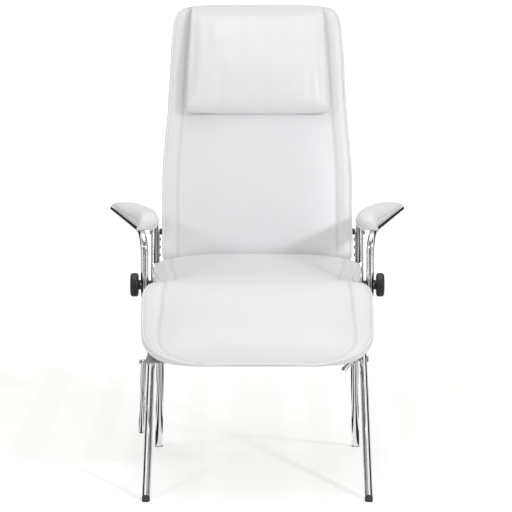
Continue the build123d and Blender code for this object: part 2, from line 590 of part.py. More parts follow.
back_stations = [
    (BACK_BOTTOM, back_half(BACK_BOTTOM) - 12, 0.5 * BACK_EDGE, 0.5 * BACK_SEAM, 0.5 * BACK_CROWN),
    (BACK_BOTTOM + 10, back_half(BACK_BOTTOM) - 3, 0.85 * BACK_EDGE, 0.85 * BACK_SEAM, 0.84 * BACK_CROWN),
    (BACK_BOTTOM + 30, back_half(BACK_BOTTOM), BACK_EDGE, BACK_SEAM, BACK_CROWN),
    (0.2 * BACK_TOP, back_half(0.2 * BACK_TOP), BACK_EDGE, BACK_SEAM, BACK_CROWN),
    (0.55 * BACK_TOP, back_half(0.55 * BACK_TOP), BACK_EDGE, BACK_SEAM, BACK_CROWN),
    (BACK_TOP - BACK_CORNER, back_half(BACK_TOP - BACK_CORNER), BACK_EDGE, BACK_SEAM, 0.96 * BACK_CROWN),
    (BACK_TOP - 16, corner_half(BACK_TOP - 16, 0), 0.92 * BACK_EDGE, 0.9 * BACK_SEAM, 0.86 * BACK_CROWN),
    (BACK_TOP - 5, corner_half(BACK_TOP - 5, 0), 0.75 * BACK_EDGE, 0.72 * BACK_SEAM, 0.66 * BACK_CROWN),
    (BACK_TOP, corner_half(BACK_TOP - 1, 0), 0.5 * BACK_EDGE, 0.48 * BACK_SEAM, 0.44 * BACK_CROWN),
]
back_cushion = panel(back_stations, BACK_BORDER, board_face + GAP / 3)

rear_base = -BACK_BOARD_SET + GAP / 3
rear_inset = 6.0
rear_stations = [
    (REAR_PAD_BOTTOM, back_half(REAR_PAD_BOTTOM) - rear_inset - 10, 0.5 * REAR_PAD),
    (REAR_PAD_BOTTOM + 14, back_half(REAR_PAD_BOTTOM) - rear_inset, 0.9 * REAR_PAD),
    (0.45 * BACK_TOP, back_half(0.45 * BACK_TOP) - rear_inset, REAR_PAD),
    (BACK_TOP - BACK_CORNER, corner_half(BACK_TOP - BACK_CORNER, rear_inset), REAR_PAD),
    (BACK_TOP - 16, corner_half(BACK_TOP - 16, rear_inset), 0.86 * REAR_PAD),
    (BACK_TOP - 4, corner_half(BACK_TOP - 4, rear_inset), 0.5 * REAR_PAD),
]


def rear_section(y, half, thick):
    """Cross-section of the rear cover: flat on the board, gently crowned behind."""
    rim = (half - 4.0, rear_base + 0.6 * thick)
    outline = [
        Line((-half, rear_base), (half, rear_base)),
        ThreePointArc((half, rear_base), (half - 0.8, rear_base + 0.35 * thick), rim),
        ThreePointArc(rim, (0, rear_base + thick), (-rim[0], rim[1])),
        ThreePointArc((-rim[0], rim[1]), (0.8 - half, rear_base + 0.35 * thick), (-half, rear_base)),
    ]
    return Plane(origin=(0, y, 0), x_dir=(-1, 0, 0), z_dir=(0, -1, 0)) * make_face(outline)


rear_pad = loft([rear_section(*station) for station in rear_stations], ruled=True)
for name, shape in {
    "back_board": back_board,
    "back_cushion": back_cushion,
    "back_rear_pad": rear_pad,
    "back_hinge_rail": back_rail,
    "right_bearing_block": back_block,
    "left_bearing_block": flip(back_block),
    "bearing_block_screws": pair(Compound(block_screws)),
}.items():
    parts[name] = back_plane.location * shape

# Head pillow: a soft hook over the top of the back, drawn as a side profile in the back's frame.
pillow_front = board_face + GAP / 3 + BACK_CROWN + GAP
pillow_rear = -(rear_base + REAR_PAD) - GAP
pillow_top = BACK_TOP + GAP


def pillow_section(x, swell):
    """Side profile of the pillow at x, with its padding scaled by swell."""
    thick = PILLOW_THICK * swell
    over = PILLOW_OVER * swell
    flap = PILLOW_FLAP * swell
    low = PILLOW_BOTTOM + (1 - swell) * PILLOW_ROLL
    flap_low = pillow_top - PILLOW_FLAP_LENGTH
    front = pillow_front + thick
    rear = pillow_rear - flap
    bulge = 0.5 * (low + pillow_top)
    outline = [
        ThreePointArc((low, pillow_front), (low - 0.25 * thick, pillow_front + 0.45 * thick),
                      (low + 0.4 * thick, pillow_front + 0.92 * thick)),
        ThreePointArc((low + 0.4 * thick, pillow_front + 0.92 * thick), (bulge, front),
                      (pillow_top - 1.6 * PILLOW_ROLL, pillow_front + 0.72 * thick)),
        ThreePointArc((pillow_top - 1.6 * PILLOW_ROLL, pillow_front + 0.72 * thick),
                      (pillow_top - 0.2 * PILLOW_ROLL, pillow_front + 0.1 * thick),
                      (pillow_top + over, 0.45 * pillow_front)),
        ThreePointArc((pillow_top + over, 0.45 * pillow_front), (pillow_top + 0.4 * over, pillow_rear),
                      (pillow_top - PILLOW_ROLL, rear)),
        Line((pillow_top - PILLOW_ROLL, rear), (flap_low, rear)),
        Line((flap_low, rear), (flap_low, pillow_rear)),
        Line((flap_low, pillow_rear), (pillow_top, pillow_rear)),
        Line((pillow_top, pillow_rear), (pillow_top, pillow_front - 0.35 * BACK_CROWN)),
        Line((pillow_top, pillow_front - 0.35 * BACK_CROWN), (pillow_top - PILLOW_ROLL, pillow_front)),
        Line((pillow_top - PILLOW_ROLL, pillow_front), (low, pillow_front)),
    ]
    return Plane(origin=(x, 0, 0), x_dir=(0, 1, 0), z_dir=(1, 0, 0)) * make_face(outline)


pillow_stations = [(-1.0, 0.45), (-0.95, 0.75), (-0.8, 0.94), (0.0, 1.0), (0.8, 0.94), (0.95, 0.75), (1.0, 0.45)]
head_pillow = loft([pillow_section(PILLOW_HALF * share, swell) for share, swell in pillow_stations], ruled=True)
parts["head_pillow"] = back_plane.location * head_pillow

# Leg rest, drawn flat: x across, y back towards the hinge, z out of its face.
leg_crown = LEG_NOSE - LEG_BASE
leg_stations = [
    (-LEG_LENGTH, LEG_HALF - 120, 0.42 * LEG_EDGE, 0.38 * LEG_SEAM, 0.28 * leg_crown),
    (0.09 * LEG_CORNER - LEG_LENGTH, LEG_HALF - 74, 0.66 * LEG_EDGE, 0.62 * LEG_SEAM, 0.48 * leg_crown),
    (0.2 * LEG_CORNER - LEG_LENGTH, LEG_HALF - 49, 0.8 * LEG_EDGE, 0.78 * LEG_SEAM, 0.62 * leg_crown),
    (0.36 * LEG_CORNER - LEG_LENGTH, LEG_HALF - 31, 0.9 * LEG_EDGE, 0.88 * LEG_SEAM, 0.72 * leg_crown),
    (0.66 * LEG_CORNER - LEG_LENGTH, LEG_HALF - 12, 0.97 * LEG_EDGE, 0.96 * LEG_SEAM, 0.8 * leg_crown),
    (LEG_CORNER - LEG_LENGTH, LEG_HALF - 4, LEG_EDGE, LEG_SEAM, 0.86 * leg_crown),
    (-0.42 * LEG_LENGTH, LEG_HALF, LEG_EDGE, LEG_SEAM, 0.92 * leg_crown),
    (-1.2 * LEG_NOSE, LEG_HALF - 2, LEG_EDGE, LEG_SEAM, 0.96 * leg_crown),
    (-0.8 * LEG_NOSE, LEG_HALF - 8, LEG_EDGE, 1.1 * LEG_SEAM, 0.98 * leg_crown),
    (-0.63 * LEG_NOSE, LEG_HALF - 18, LEG_EDGE, 1.15 * LEG_SEAM, leg_crown),
    (-0.56 * LEG_NOSE, LEG_NOSE_HALF + 1, LEG_EDGE + 2, 0.78 * leg_crown, leg_crown),
    (0, LEG_NOSE_HALF, LEG_EDGE + 3, 0.8 * leg_crown, leg_crown),
    (0.4 * LEG_NOSE, LEG_NOSE_HALF - 1, LEG_EDGE, 0.74 * leg_crown, 0.9 * leg_crown),
    (0.72 * LEG_NOSE, LEG_NOSE_HALF - 5, 0.46 * leg_crown, 0.54 * leg_crown, 0.68 * leg_crown),
    (0.92 * LEG_NOSE, LEG_NOSE_HALF - 14, 0.2 * leg_crown, 0.22 * leg_crown, 0.26 * leg_crown),
]
leg_cushion = panel(leg_stations, LEG_BORDER, LEG_BASE + GAP / 3)
leg_floor = LEG_BASE - LEG_BOARD
ear_rear = -5.0
ear_front = -30.0
flange_end = -70.0
board_side = LEG_HALF - LEG_BOARD_SIDE
board_end = board_side - LEG_BOARD_TAPER
board_tip = LEG_BOARD_TIP - LEG_LENGTH
leg_board = Pos(0, 0, LEG_BASE) * extrude(
    Polygon((LEG_BOARD_HALF, 0.25 * LEG_NOSE), (-LEG_BOARD_HALF, 0.25 * LEG_NOSE),
            (-LEG_BOARD_HALF, flange_end), (-board_side, -0.42 * LEG_LENGTH),
            (-board_side, LEG_CORNER - LEG_LENGTH), (-board_end, board_tip),
            (board_end, board_tip), (board_side, LEG_CORNER - LEG_LENGTH),
            (board_side, -0.42 * LEG_LENGTH), (LEG_BOARD_HALF, flange_end), align=None),
    amount=-LEG_BOARD)
ear_face = hull(
    disc(0, 0, EAR_EYE),
    Pos((ear_rear + ear_front) / 2, leg_floor - SHEET / 2) * Rectangle(ear_rear - ear_front, SHEET),
)
ear = side_sheet(ear_face, EAR_X, EAR_X + SHEET) - rod(0, 2 * EAR_X, 0, 0, PIN + 2 * FIT)
ear += block(EAR_X - EAR_FLANGE, EAR_X + SHEET, flange_end, ear_rear, leg_floor - SHEET, leg_floor)

# Prop legs. Each hangs from an ear on a rail under the board. The left one leans outwards.
rail_low = leg_floor - SHEET
left_ear_x = -(LEFT_PROP_X - PROP_TUBE / 2 - 2)
right_ear_x = RIGHT_PROP_X - PROP_TUBE / 2 - 2
prop_rail = block(left_ear_x, right_ear_x, -PROP_AT - PROP_RAIL_WIDTH / 2, -PROP_AT + PROP_RAIL_WIDTH / 2,
                  rail_low, leg_floor)
prop_ear_face = hull(
    disc(-PROP_AT, -PROP_DEPTH, PROP_PIN / 2 + 4),
    Pos(-PROP_AT, rail_low - SHEET / 2) * Rectangle(PROP_RAIL_WIDTH, SHEET),
)
prop_rail += side_sheet(prop_ear_face, left_ear_x, left_ear_x + SHEET)
prop_rail += side_sheet(prop_ear_face, right_ear_x - SHEET, right_ear_x)


def prop_frame(x, splay, angle):
    """Frame at a prop leg's pin: x along the pin, z down the leg."""
    origin = leg_plane.from_local_coords((0, -PROP_AT, -PROP_DEPTH)) + Vector(x, 0, 0)
    flare = radians(splay)
    slope = radians(angle)
    run = Vector(-sin(flare), cos(flare) * cos(slope), -cos(flare) * sin(slope))
    across = Vector(1, 0, 0)
    return Plane(origin=origin, x_dir=across - run * across.dot(run), z_dir=run)


prop_stop = PROP_LENGTH - PROP_TIP_LENGTH
prop_bore = PROP_TUBE - 2 * PROP_WALL
prop_leg = Pos(0, 0, prop_stop / 2) * Cylinder(PROP_TUBE / 2, prop_stop) + Sphere(PROP_TUBE / 2)
prop_leg -= Pos(0, 0, (prop_stop + PROP_TUBE) / 2) * Cylinder(prop_bore / 2, prop_stop - PROP_TUBE)
prop_leg -= rod(-PROP_TUBE, PROP_TUBE, 0, 0, PROP_PIN + 2 * FIT)
prop_tip = Pos(0, 0, PROP_LENGTH - PROP_TIP_LENGTH / 2) * Cylinder(PROP_TUBE / 2, PROP_TIP_LENGTH)
prop_tip = fillet(prop_tip.edges().sort_by(Axis.Z)[-1], 0.2 * PROP_TUBE)
prop_tip += Pos(0, 0, prop_stop - PLUG / 2) * Cylinder(prop_bore / 2 - FIT, PLUG)
left_frame = prop_frame(-LEFT_PROP_X, LEFT_PROP_SPLAY, LEFT_PROP_ANGLE)
right_frame = prop_frame(RIGHT_PROP_X, 0, RIGHT_PROP_ANGLE)
left_pin = rod(-PROP_TUBE / 2 - GAP, PROP_TUBE / 2 + 2 + 2 * SHEET, 0, 0, PROP_PIN)
left_pin += rod(-PROP_TUBE / 2 - GAP - HEAD, -PROP_TUBE / 2 - GAP, 0, 0, 1.7 * PROP_PIN)
pin_bore = rod(-3 * PROP_TUBE, 3 * PROP_TUBE, 0, 0, PROP_PIN + 2 * FIT)
placed_leg = leg_plane.location
for name, shape in {
    "leg_rest_board": leg_board,
    "leg_rest_cushion": leg_cushion,
    "leg_rest_ears": pair(ear),
}.items():
    parts[name] = placed_leg * shape
parts["prop_rail"] = placed_leg * prop_rail - left_frame.location * pin_bore - right_frame.location * pin_bore
for side, frame, pin in (("left", left_frame, left_pin), ("right", right_frame, flip(left_pin))):
    parts[f"{side}_prop_leg"] = frame.location * prop_leg
    parts[f"{side}_prop_tip"] = frame.location * prop_tip
    parts[f"{side}_prop_pin"] = frame.location * pin

# The chair's box is centred on the origin, which lies on the floor.
box = Compound([solid for shape in parts.values() for solid in shape.solids()]).bounding_box()
origin_y = -(box.min.Y + box.max.Y) / 2
for name, shape in parts.items():
    export_step(Pos(0, origin_y, 0) * shape, f"parts/{name}.step")
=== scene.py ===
"""Looks of a reclining lounge armchair with leg rest, as an add-on with one operator per group of pieces."""

import json
import math

import bmesh
import bpy
import numpy as np
from bpy.props import FloatProperty, FloatVectorProperty, PointerProperty
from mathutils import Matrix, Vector, noise


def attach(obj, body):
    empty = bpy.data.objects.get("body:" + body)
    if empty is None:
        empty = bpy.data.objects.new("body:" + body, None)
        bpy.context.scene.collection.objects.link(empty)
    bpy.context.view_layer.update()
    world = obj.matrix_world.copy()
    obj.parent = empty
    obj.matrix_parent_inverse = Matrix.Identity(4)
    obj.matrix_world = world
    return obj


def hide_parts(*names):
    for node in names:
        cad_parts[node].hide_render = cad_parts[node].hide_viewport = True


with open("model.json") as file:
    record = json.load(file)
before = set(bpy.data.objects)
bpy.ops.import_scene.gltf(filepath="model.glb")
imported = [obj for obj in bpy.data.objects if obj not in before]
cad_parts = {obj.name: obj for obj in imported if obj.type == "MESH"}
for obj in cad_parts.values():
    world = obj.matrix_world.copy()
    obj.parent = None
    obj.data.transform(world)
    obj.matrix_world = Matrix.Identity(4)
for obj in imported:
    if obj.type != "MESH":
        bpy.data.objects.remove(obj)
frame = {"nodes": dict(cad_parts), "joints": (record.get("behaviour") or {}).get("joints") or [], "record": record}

bl_info = {
    "name": "Lounge armchair looks",
    "version": (1, 0, 0),
    "blender": (4, 5, 0),
    "location": "View3D > Sidebar > Armchair",
    "description": "Upholstery, metal, trim and studio of a reclining lounge armchair",
    "category": "Object",
}

MM = 0.001
JOINT_AT = {joint["name"]: Vector(joint["pos_m"]) for joint in frame["joints"] if joint["type"] == "hinge"}
SLOT_OF = {entry["node"]: entry["material_slot"] for entry in frame["record"]["subparts"]}

# Places of the padded parts: (origin, across, along, out of the face), in the chair's frame
BACK_LEAN = math.radians(16.0)
LEG_DROP = math.radians(35.0)
PIVOT = JOINT_AT["back_recline"]
# The part is drawn with its pivot at this Y and then centred, which shifts all that is drawn with it
PIVOT_DRAWN_Y = 0.289
SHIFT_Y = PIVOT.y - PIVOT_DRAWN_Y
ACROSS = Vector((1, 0, 0))
BACK_PLACE = (
    PIVOT,
    ACROSS,
    Vector((0, math.sin(BACK_LEAN), math.cos(BACK_LEAN))),
    Vector((0, -math.cos(BACK_LEAN), math.sin(BACK_LEAN))),
)
REAR_PLACE = (PIVOT, -ACROSS, BACK_PLACE[2], -BACK_PLACE[3])
SEAT_PLACE = (Vector((0, SHIFT_Y, 0)), ACROSS, Vector((0, 1, 0)), Vector((0, 0, 1)))
LEG_PLACE = (
    JOINT_AT["leg_rest_tilt"],
    ACROSS,
    Vector((0, math.cos(LEG_DROP), math.sin(LEG_DROP))),
    Vector((0, -math.sin(LEG_DROP), math.cos(LEG_DROP))),
)
# The right arm tube's axis: the corner before its bend is rounded, and its end
ARM_CORNER = Vector((0.2555, SHIFT_Y - 0.110, 0.578))
ARM_END = Vector((0.3415, SHIFT_Y + 0.200, 0.596))
ARM_RUN = (ARM_END - ARM_CORNER).normalized()
PAD_UP = (Vector((0, 0, 1)) - ARM_RUN * ARM_RUN.z).normalized()
ARM_PLACE = (ARM_CORNER, PAD_UP.cross(ARM_RUN), ARM_RUN, PAD_UP)

# Undersides of the upholstered panels, out of their places, in millimetres
SEAT_BASE = 420.1
BACK_BASE = 16.1
REAR_BASE = -5.9
LEG_BASE = -9.9
ARM_BASE = 9.3

# Shares across half a panel: over the centre up to the seam, over the border up to the rim, down the side
CENTRE_SHARES = np.concatenate([np.linspace(0, 0.93, 12), (0.965, 0.988, 1.0)])[None, :]
BORDER_SHARES = np.array([(0.07, 0.25, 0.5, 0.75, 0.93, 1.0)])
SIDE_SHARES = np.linspace(0, 1, 6)[None, 1:]
# The less, the steeper a panel's centre rises from its seams
CROWN_FULLNESS = 0.6
# Upholstered panels: (along, half width, seam, and the heights of edge, seam and crown), in millimetres
SEAT_ROWS = [
    (-108, 217, 182, 24, 26, 31),
    (-99, 224, 187, 35, 38, 46),
    (-86, 226, 188, 39.5, 43, 53),
    (-36, 226, 188, 40, 44.5, 56),
    (95, 241, 202, 41, 48, 60),
    (188, 247, 206, 44, 57, 67),
    (202, 243.5, 204, 41, 54, 65),
    (211.5, 236, 200, 27, 40, 50),
]
BACK_ROWS = [
    (-74, 225, 188, 14, 17, 25),
    (-64, 228.5, 191, 20, 24, 34),
    (-44, 229, 192, 22, 26, 38),
    (110, 229, 192, 22, 26, 40),
    (301, 216.5, 179, 22, 26, 40),
    (508, 203.5, 166, 22, 26, 37),
    (532, 195, 162, 20, 23, 33),
    (543, 183, 156, 16.5, 18.5, 26),
    (548, 167, 146, 11, 12.5, 17),
]
REAR_ROWS = [
    (34, 213, 180, 7, 8, 10),
    (48, 223, 190, 13, 15, 17),
    (246, 214, 182, 14, 17, 19.5),
    (508, 197.5, 166, 14, 17, 19.5),
    (532, 189, 160, 12, 14, 17),
    (544, 172, 150, 7, 8, 10),
]
LEG_ROWS = [
    (-222, 124, 108, 12, 13, 15),
    (-219.5, 156.5, 140, 15, 16, 18.5),
    (-215.5, 181.5, 164, 18.5, 20, 23.5),
    (-207.5, 206, 187, 22, 25.5, 30.5),
    (-196, 225, 204, 24, 29, 35),
    (-175, 244.5, 216, 25.5, 31, 39),
    (-150, 254.5, 218.5, 26, 32, 42),
    (-97, 258.5, 215, 27, 33.5, 44.5),
    (-60, 259, 212, 31, 37, 46.5),
    (-40, 259, 211, 36, 41, 48),
    (-24, 257.5, 209.5, 40, 44, 49.5),
    (-12, 252.5, 208, 42.5, 46, 50),
    (-2, 245, 207, 43, 46, 50),
    (6, 235, 206.5, 41, 44.5, 49),
    (12, 226.5, 206, 36, 41, 47),
    (18, 223, 205, 29, 36, 43),
    (27, 219.5, 202, 22, 26, 32),
    (35, 211, 194, 9.5, 10.5, 12.5),
]
# The leg rest's foot between the seat's side plates: from this place along, no wider than this
LEG_NECK = (-21.5, 222.0)
# Its underside rises towards the tip: from this place along, by this much
LEG_KEEL = (-190.0, 7.0)
# Arm pads: (along the tube, half width, thickness), the tube's bend that their front ends follow, their reach
# outwards, and the span along, the span across and the depth of the board that is sunk into them
ARM_STATIONS = [
    (22, 12.5, 17),
    (25, 19.2, 25.5),
    (31, 23.4, 31),
    (40, 26, 34.5),
    (49, 27, 34.3),
    (67, 28, 33.2),
    (109.5, 31.2, 28.5),
    (167, 35.3, 21.8),
    (228, 33.6, 17),
    (277, 29.6, 13.8),
    (291.5, 24, 11.6),
    (300.5, 16.6, 9),
    (304, 10.6, 5.8),
]
ARM_RADIUS = 52.0
ARM_BEND_START = ARM_RADIUS * math.tan(0.5 * math.acos(ARM_RUN.z))
ARM_PAD_OUT = 10.0
ARM_BOARD_SPAN = (52.5, 269.0)
ARM_BOARD_ACROSS = (-6.6, 20.6)
ARM_BOARD_DEPTH = 4.0

# Head pillow, drawn as a side profile in the back's frame, in millimetres
PILLOW_HALF = 174.0
PILLOW_TOP_HALF = 159.0
PILLOW_LOW = 284.0
PILLOW_TOP = 548.3
PILLOW_FRONT = 56.4
PILLOW_REAR = -14.4
PILLOW_FLAP_LOW = 438.3
PILLOW_THICK = 44.0
PILLOW_CORNER = 10.0
PILLOW_EDGE_PUFF = 0.45
PILLOW_STATIONS = 35
PILLOW_AROUND = 60
# Hanging folds: place across, drift from top to bottom, width, depth, then place down the front and length
# as shares. They fade out over the last of the front's thickness
PILLOW_FOLD_FADE = 12.0
PILLOW_FOLDS = [
    (-152, -8, 7, 5.0, 0.45, 0.45),
    (-118, 14, 9, 3.6, 0.25, 0.35),
    (-88, -8, 6, 3.4, 0.85, 0.25),
    (-46, 10, 10, 3.4, 0.30, 0.40),
    (-22, 4, 6, 3.0, 0.82, 0.28),
    (14, -10, 8, 4.0, 0.62, 0.40),
    (52, 12, 7, 3.2, 0.25, 0.30),
    (70, -6, 8, 3.8, 0.84, 0.28),
    (104, 8, 7, 4.2, 0.40, 0.45),
    (128, -4, 6, 5.0, 0.45, 0.55),
    (152, 6, 6, 4.4, 0.60, 0.45),
]

# Stuffing: frames of its simulation, and the air pressure in it
STUFFING_FRAMES = 20
STUFFING_PRESSURE = 4.0
# Fixed start of the noise behind the rumples, which would otherwise be taken from the clock
NOISE_SEED = 1

# Lamps: place, the point that they face, width and height in metres, and the setting with their power
LAMPS = {
    "key_lamp": ((2.8, -3.3, 2.4), (0, 0, 0.6), (0.35, 0.35), "key_power"),
    "fill_lamp": ((-2.8, -3.3, 2.3), (0, 0, 0.6), (0.3, 0.3), "fill_power"),
    "top_lamp": ((0, -0.6, 3.0), (0, -0.1, 0.5), (1.6, 1.6), "top_power"),
    "strip_lamp_left": ((-1.7, -1.5, 0.9), (0, 0, 0.6), (0.16, 1.8), "strip_power"),
    "strip_lamp_right": ((1.7, -1.5, 0.9), (0, 0, 0.6), (0.16, 1.8), "strip_power"),
}
# Cool lamps and a warm room that add up to white
LAMP_TINT = (1.0, 1.005, 1.05)
ROOM_TINT = (1.0, 0.99, 0.94, 1.0)
WHITE = (1.0, 1.0, 1.0, 1.0)
BLACK = (0.0, 0.0, 0.0, 1.0)
# Camera: place across, and its turn up from straight down
CAMERA_X = -0.003
CAMERA_TURN = math.radians(82.18)
# Floor: its corners, the share of its glow near the chair, and the distances between which that grows to all
FLOOR_CORNERS = ((-40, -20, 0), (40, -20, 0), (40, 60, 0), (-40, 60, 0))
FLOOR_NEAR = (0.55, 0.55, 0.55, 1.0)
FLOOR_FADE = (1.0, 4.0)
# Dark screens: pairs of azimuths from the front in degrees, one screen's line as (reach, height) in metres,
# and dark strips on the floor as spans of X, with their reach in Y and their height
SCREEN_ARCS = ((5, 36), (44, 72), (94, 130), (140, 150))
SCREEN_STEPS = 6
SCREEN_LINE = ((1.2, 0.004), (6.0, 0.004), (6.0, 3.0), (4.2, 5.0))
FLOOR_STRIPS = (
    (-0.60, -0.52), (-0.42, -0.36), (-0.31, -0.25), (-0.19, -0.13), (-0.07, 0.07),
    (0.13, 0.19), (0.25, 0.31), (0.36, 0.42), (0.52, 0.60),
)
FLOOR_STRIP_REACH = (-2.5, 1.5)
FLOOR_STRIP_HEIGHT = 0.003


class LoungeCover(bpy.types.PropertyGroup):
    """White leatherette of the cushions, pads and pillow."""

    colour: FloatVectorProperty(
        name="Cover colour", description="Colour of the leatherette", subtype="COLOR",
        default=(0.845, 0.85, 0.862), min=0.0, max=1.0)
    # Painted shade: the grey that the leatherette is darkened to deep in its seams and folds, where shade falls
    crease_shade_colour: FloatVectorProperty(
        name="Crease shade colour", description="Painted shade of the leatherette deep in seams and folds",
        subtype="COLOR", default=(0.46, 0.455, 0.44), min=0.0, max=1.0)
    roughness: FloatProperty(
        name="Roughness", description="Mean roughness of the leatherette", default=0.4, min=0.05, max=1.0)
    grain: FloatProperty(
        name="Grain", description="Width of one pebble of the embossed grain", subtype="DISTANCE",
        unit="LENGTH", default=0.0016, min=0.0004, max=0.01)
    piping: FloatProperty(
        name="Piping radius", description="Radius of the piping along the panel edges", subtype="DISTANCE",
        unit="LENGTH", default=0.0031, min=0.001, max=0.008)
    seam: FloatProperty(
        name="Seam cord radius", description="Radius of the cord sewn into the panel seams",
        subtype="DISTANCE", unit="LENGTH", default=0.0011, min=0.0005, max=0.005)
    swell: FloatProperty(
        name="Swell", description="How far the stuffing may push a panel out between its seams",
        subtype="DISTANCE", unit="LENGTH", default=0.007, min=0.0, max=0.03)


class LoungeMetal(bpy.types.PropertyGroup):
    """Chromed tubes and zinc-plated fittings."""

    chrome: FloatVectorProperty(
        name="Chrome colour", description="Tint of the chromed tubes", subtype="COLOR",
        default=(0.86, 0.87, 0.885), min=0.0, max=1.0)
    chrome_roughness: FloatProperty(
        name="Chrome roughness", description="Roughness of clean chrome", default=0.06, min=0.0, max=1.0)
    zinc: FloatVectorProperty(
        name="Zinc colour", description="Tint of plates, pins and screws", subtype="COLOR",
        default=(0.60, 0.61, 0.63), min=0.0, max=1.0)


class LoungeTrim(bpy.types.PropertyGroup):
    """Moulded plastic, rubber tips and plywood boards."""

    plastic: FloatVectorProperty(
        name="Plastic colour", description="Colour of knobs, bushes and caps", subtype="COLOR",
        default=(0.009, 0.009, 0.010), min=0.0, max=1.0)
    rubber: FloatVectorProperty(
        name="Rubber colour", description="Colour of the foot tips", subtype="COLOR",
        default=(0.018, 0.018, 0.02), min=0.0, max=1.0)
    board: FloatVectorProperty(
        name="Board colour", description="Light tone of the plywood boards", subtype="COLOR",
        default=(0.30, 0.265, 0.22), min=0.0, max=1.0)


class LoungeStage(bpy.types.PropertyGroup):
    """Studio floor, lamps and camera."""

    floor: FloatVectorProperty(
        name="Floor colour", description="Colour of the studio floor", subtype="COLOR",
        default=(0.93, 0.93, 0.93), min=0.0, max=1.0)
    key_power: FloatProperty(
        name="Key power", description="Power of the main soft lamp", subtype="POWER", unit="POWER",
        default=46.0, min=0.0)
    fill_power: FloatProperty(
        name="Fill power", description="Power of the second soft lamp", subtype="POWER", unit="POWER",
        default=12.0, min=0.0)
    strip_power: FloatProperty(
        name="Strip power", description="Power of each narrow lamp that draws bright lines on the tubes",
        subtype="POWER", unit="POWER", default=4.0, min=0.0)
    top_power: FloatProperty(
        name="Top power", description="Power of the wide lamp overhead", subtype="POWER", unit="POWER",
        default=12.0, min=0.0)
    sky: FloatProperty(
        name="Room light", description="Strength of the even white light of the room", default=0.52, min=0.0)
    glow: FloatProperty(
        name="Floor glow", description="White added to the floor as a backdrop, away from the chair",
        default=0.72, min=0.0)
    distance: FloatProperty(
        name="Camera distance", description="From the chair's centre to the camera, along the floor",
        subtype="DISTANCE", unit="LENGTH", default=5.769 - SHIFT_Y, min=1.0)
    height: FloatProperty(
        name="Camera height", description="Height of the camera above the floor", subtype="DISTANCE",
        unit="LENGTH", default=1.302, min=0.1)
    lens: FloatProperty(
        name="Focal length", description="Focal length of the camera, in millimetres",
        default=177.3, min=20.0)


class Number:
    """A shader socket that takes part in sums and products."""

    def __init__(self, tree, socket):
        self.tree = tree
        self.socket = socket

    def _join(self, operation, first, second):
        maths = self.tree.nodes.new("ShaderNodeMath")
        maths.operation = operation
        for place, term in enumerate((first, second)):
            if isinstance(term, Number):
                self.tree.links.new(term.socket, maths.inputs[place])
            else:
                maths.inputs[place].default_value = term
        return Number(self.tree, maths.outputs[0])

    def __add__(self, other):
        return self._join("ADD", self, other)

    def __radd__(self, other):
        return self._join("ADD", other, self)

    def __sub__(self, other):
        return self._join("SUBTRACT", self, other)

    def __rsub__(self, other):
        return self._join("SUBTRACT", other, self)

    def __mul__(self, other):
        return self._join("MULTIPLY", self, other)

    def __rmul__(self, other):
        return self._join("MULTIPLY", other, self)

    def __pow__(self, other):
        return self._join("POWER", self, other)


class Shading:
    """A node tree under construction, with one method that adds any node."""

    def __init__(self, tree):
        self.tree = tree

    def put(self, node, values):
        """Set or link the named inputs of a node."""
        for name, value in values.items():
            if isinstance(value, Number):
                self.tree.links.new(value.socket, node.inputs[name])
            else:
                node.inputs[name].default_value = value

    def node(self, kind, settings=None, values=None, out=0):
        """Add a node, settings first, then its inputs, and return one of its outputs."""
        made = self.tree.nodes.new(kind)
        for name, value in (settings or {}).items():
            setattr(made, name, value)
        self.put(made, values or {})
        return Number(self.tree, made.outputs[out])

    def mix(self, share, first, second):
        """Colour between two colours."""
        return self.node("ShaderNodeMix", {"data_type": "RGBA"}, {0: share, 6: first, 7: second}, out=2)

    def backdrop(self):
        """One along rays that show the backdrop itself: to the camera, mirrored or through glass."""
        seen, mirrored, through = (self.node("ShaderNodeLightPath", out=f"Is {kind} Ray")
                                   for kind in ("Camera", "Glossy", "Transmission"))
        return self.node("ShaderNodeMath", {"operation": "ADD", "use_clamp": True},
                         {0: seen + mirrored, 1: through})


class Finish(Shading):
    """A material under construction."""

    def __init__(self, name):
        self.material = bpy.data.materials.new(name)
        self.material.use_nodes = True
        super().__init__(self.material.node_tree)
        self.shader = self.tree.nodes["Principled BSDF"]
        self.place = self.node("ShaderNodeTexCoord", out="Object")

    def noise(self, scale, detail=2.0, stretch=None):
        """Cloudy pattern of the given scale, drawn out along an axis if stretch is given."""
        place = self.place
        if stretch:
            place = self.node("ShaderNodeMapping", values={"Vector": place, "Scale": stretch})
        return self.node("ShaderNodeTexNoise", values={"Vector": place, "Scale": scale, "Detail": detail})

    def bump(self, height, strength, distance):
        """Normal of a surface with that height pattern."""
        values = {"Height": height, "Strength": strength, "Distance": distance}
        return self.node("ShaderNodeBump", values=values)

    def done(self, values):
        """Finish the surface with its shader inputs."""
        self.put(self.shader, values)
        return self.material


def tint(colour, share=1.0):
    """Opaque colour of a property, darkened by a share."""
    return (*(channel * share for channel in colour), 1.0)


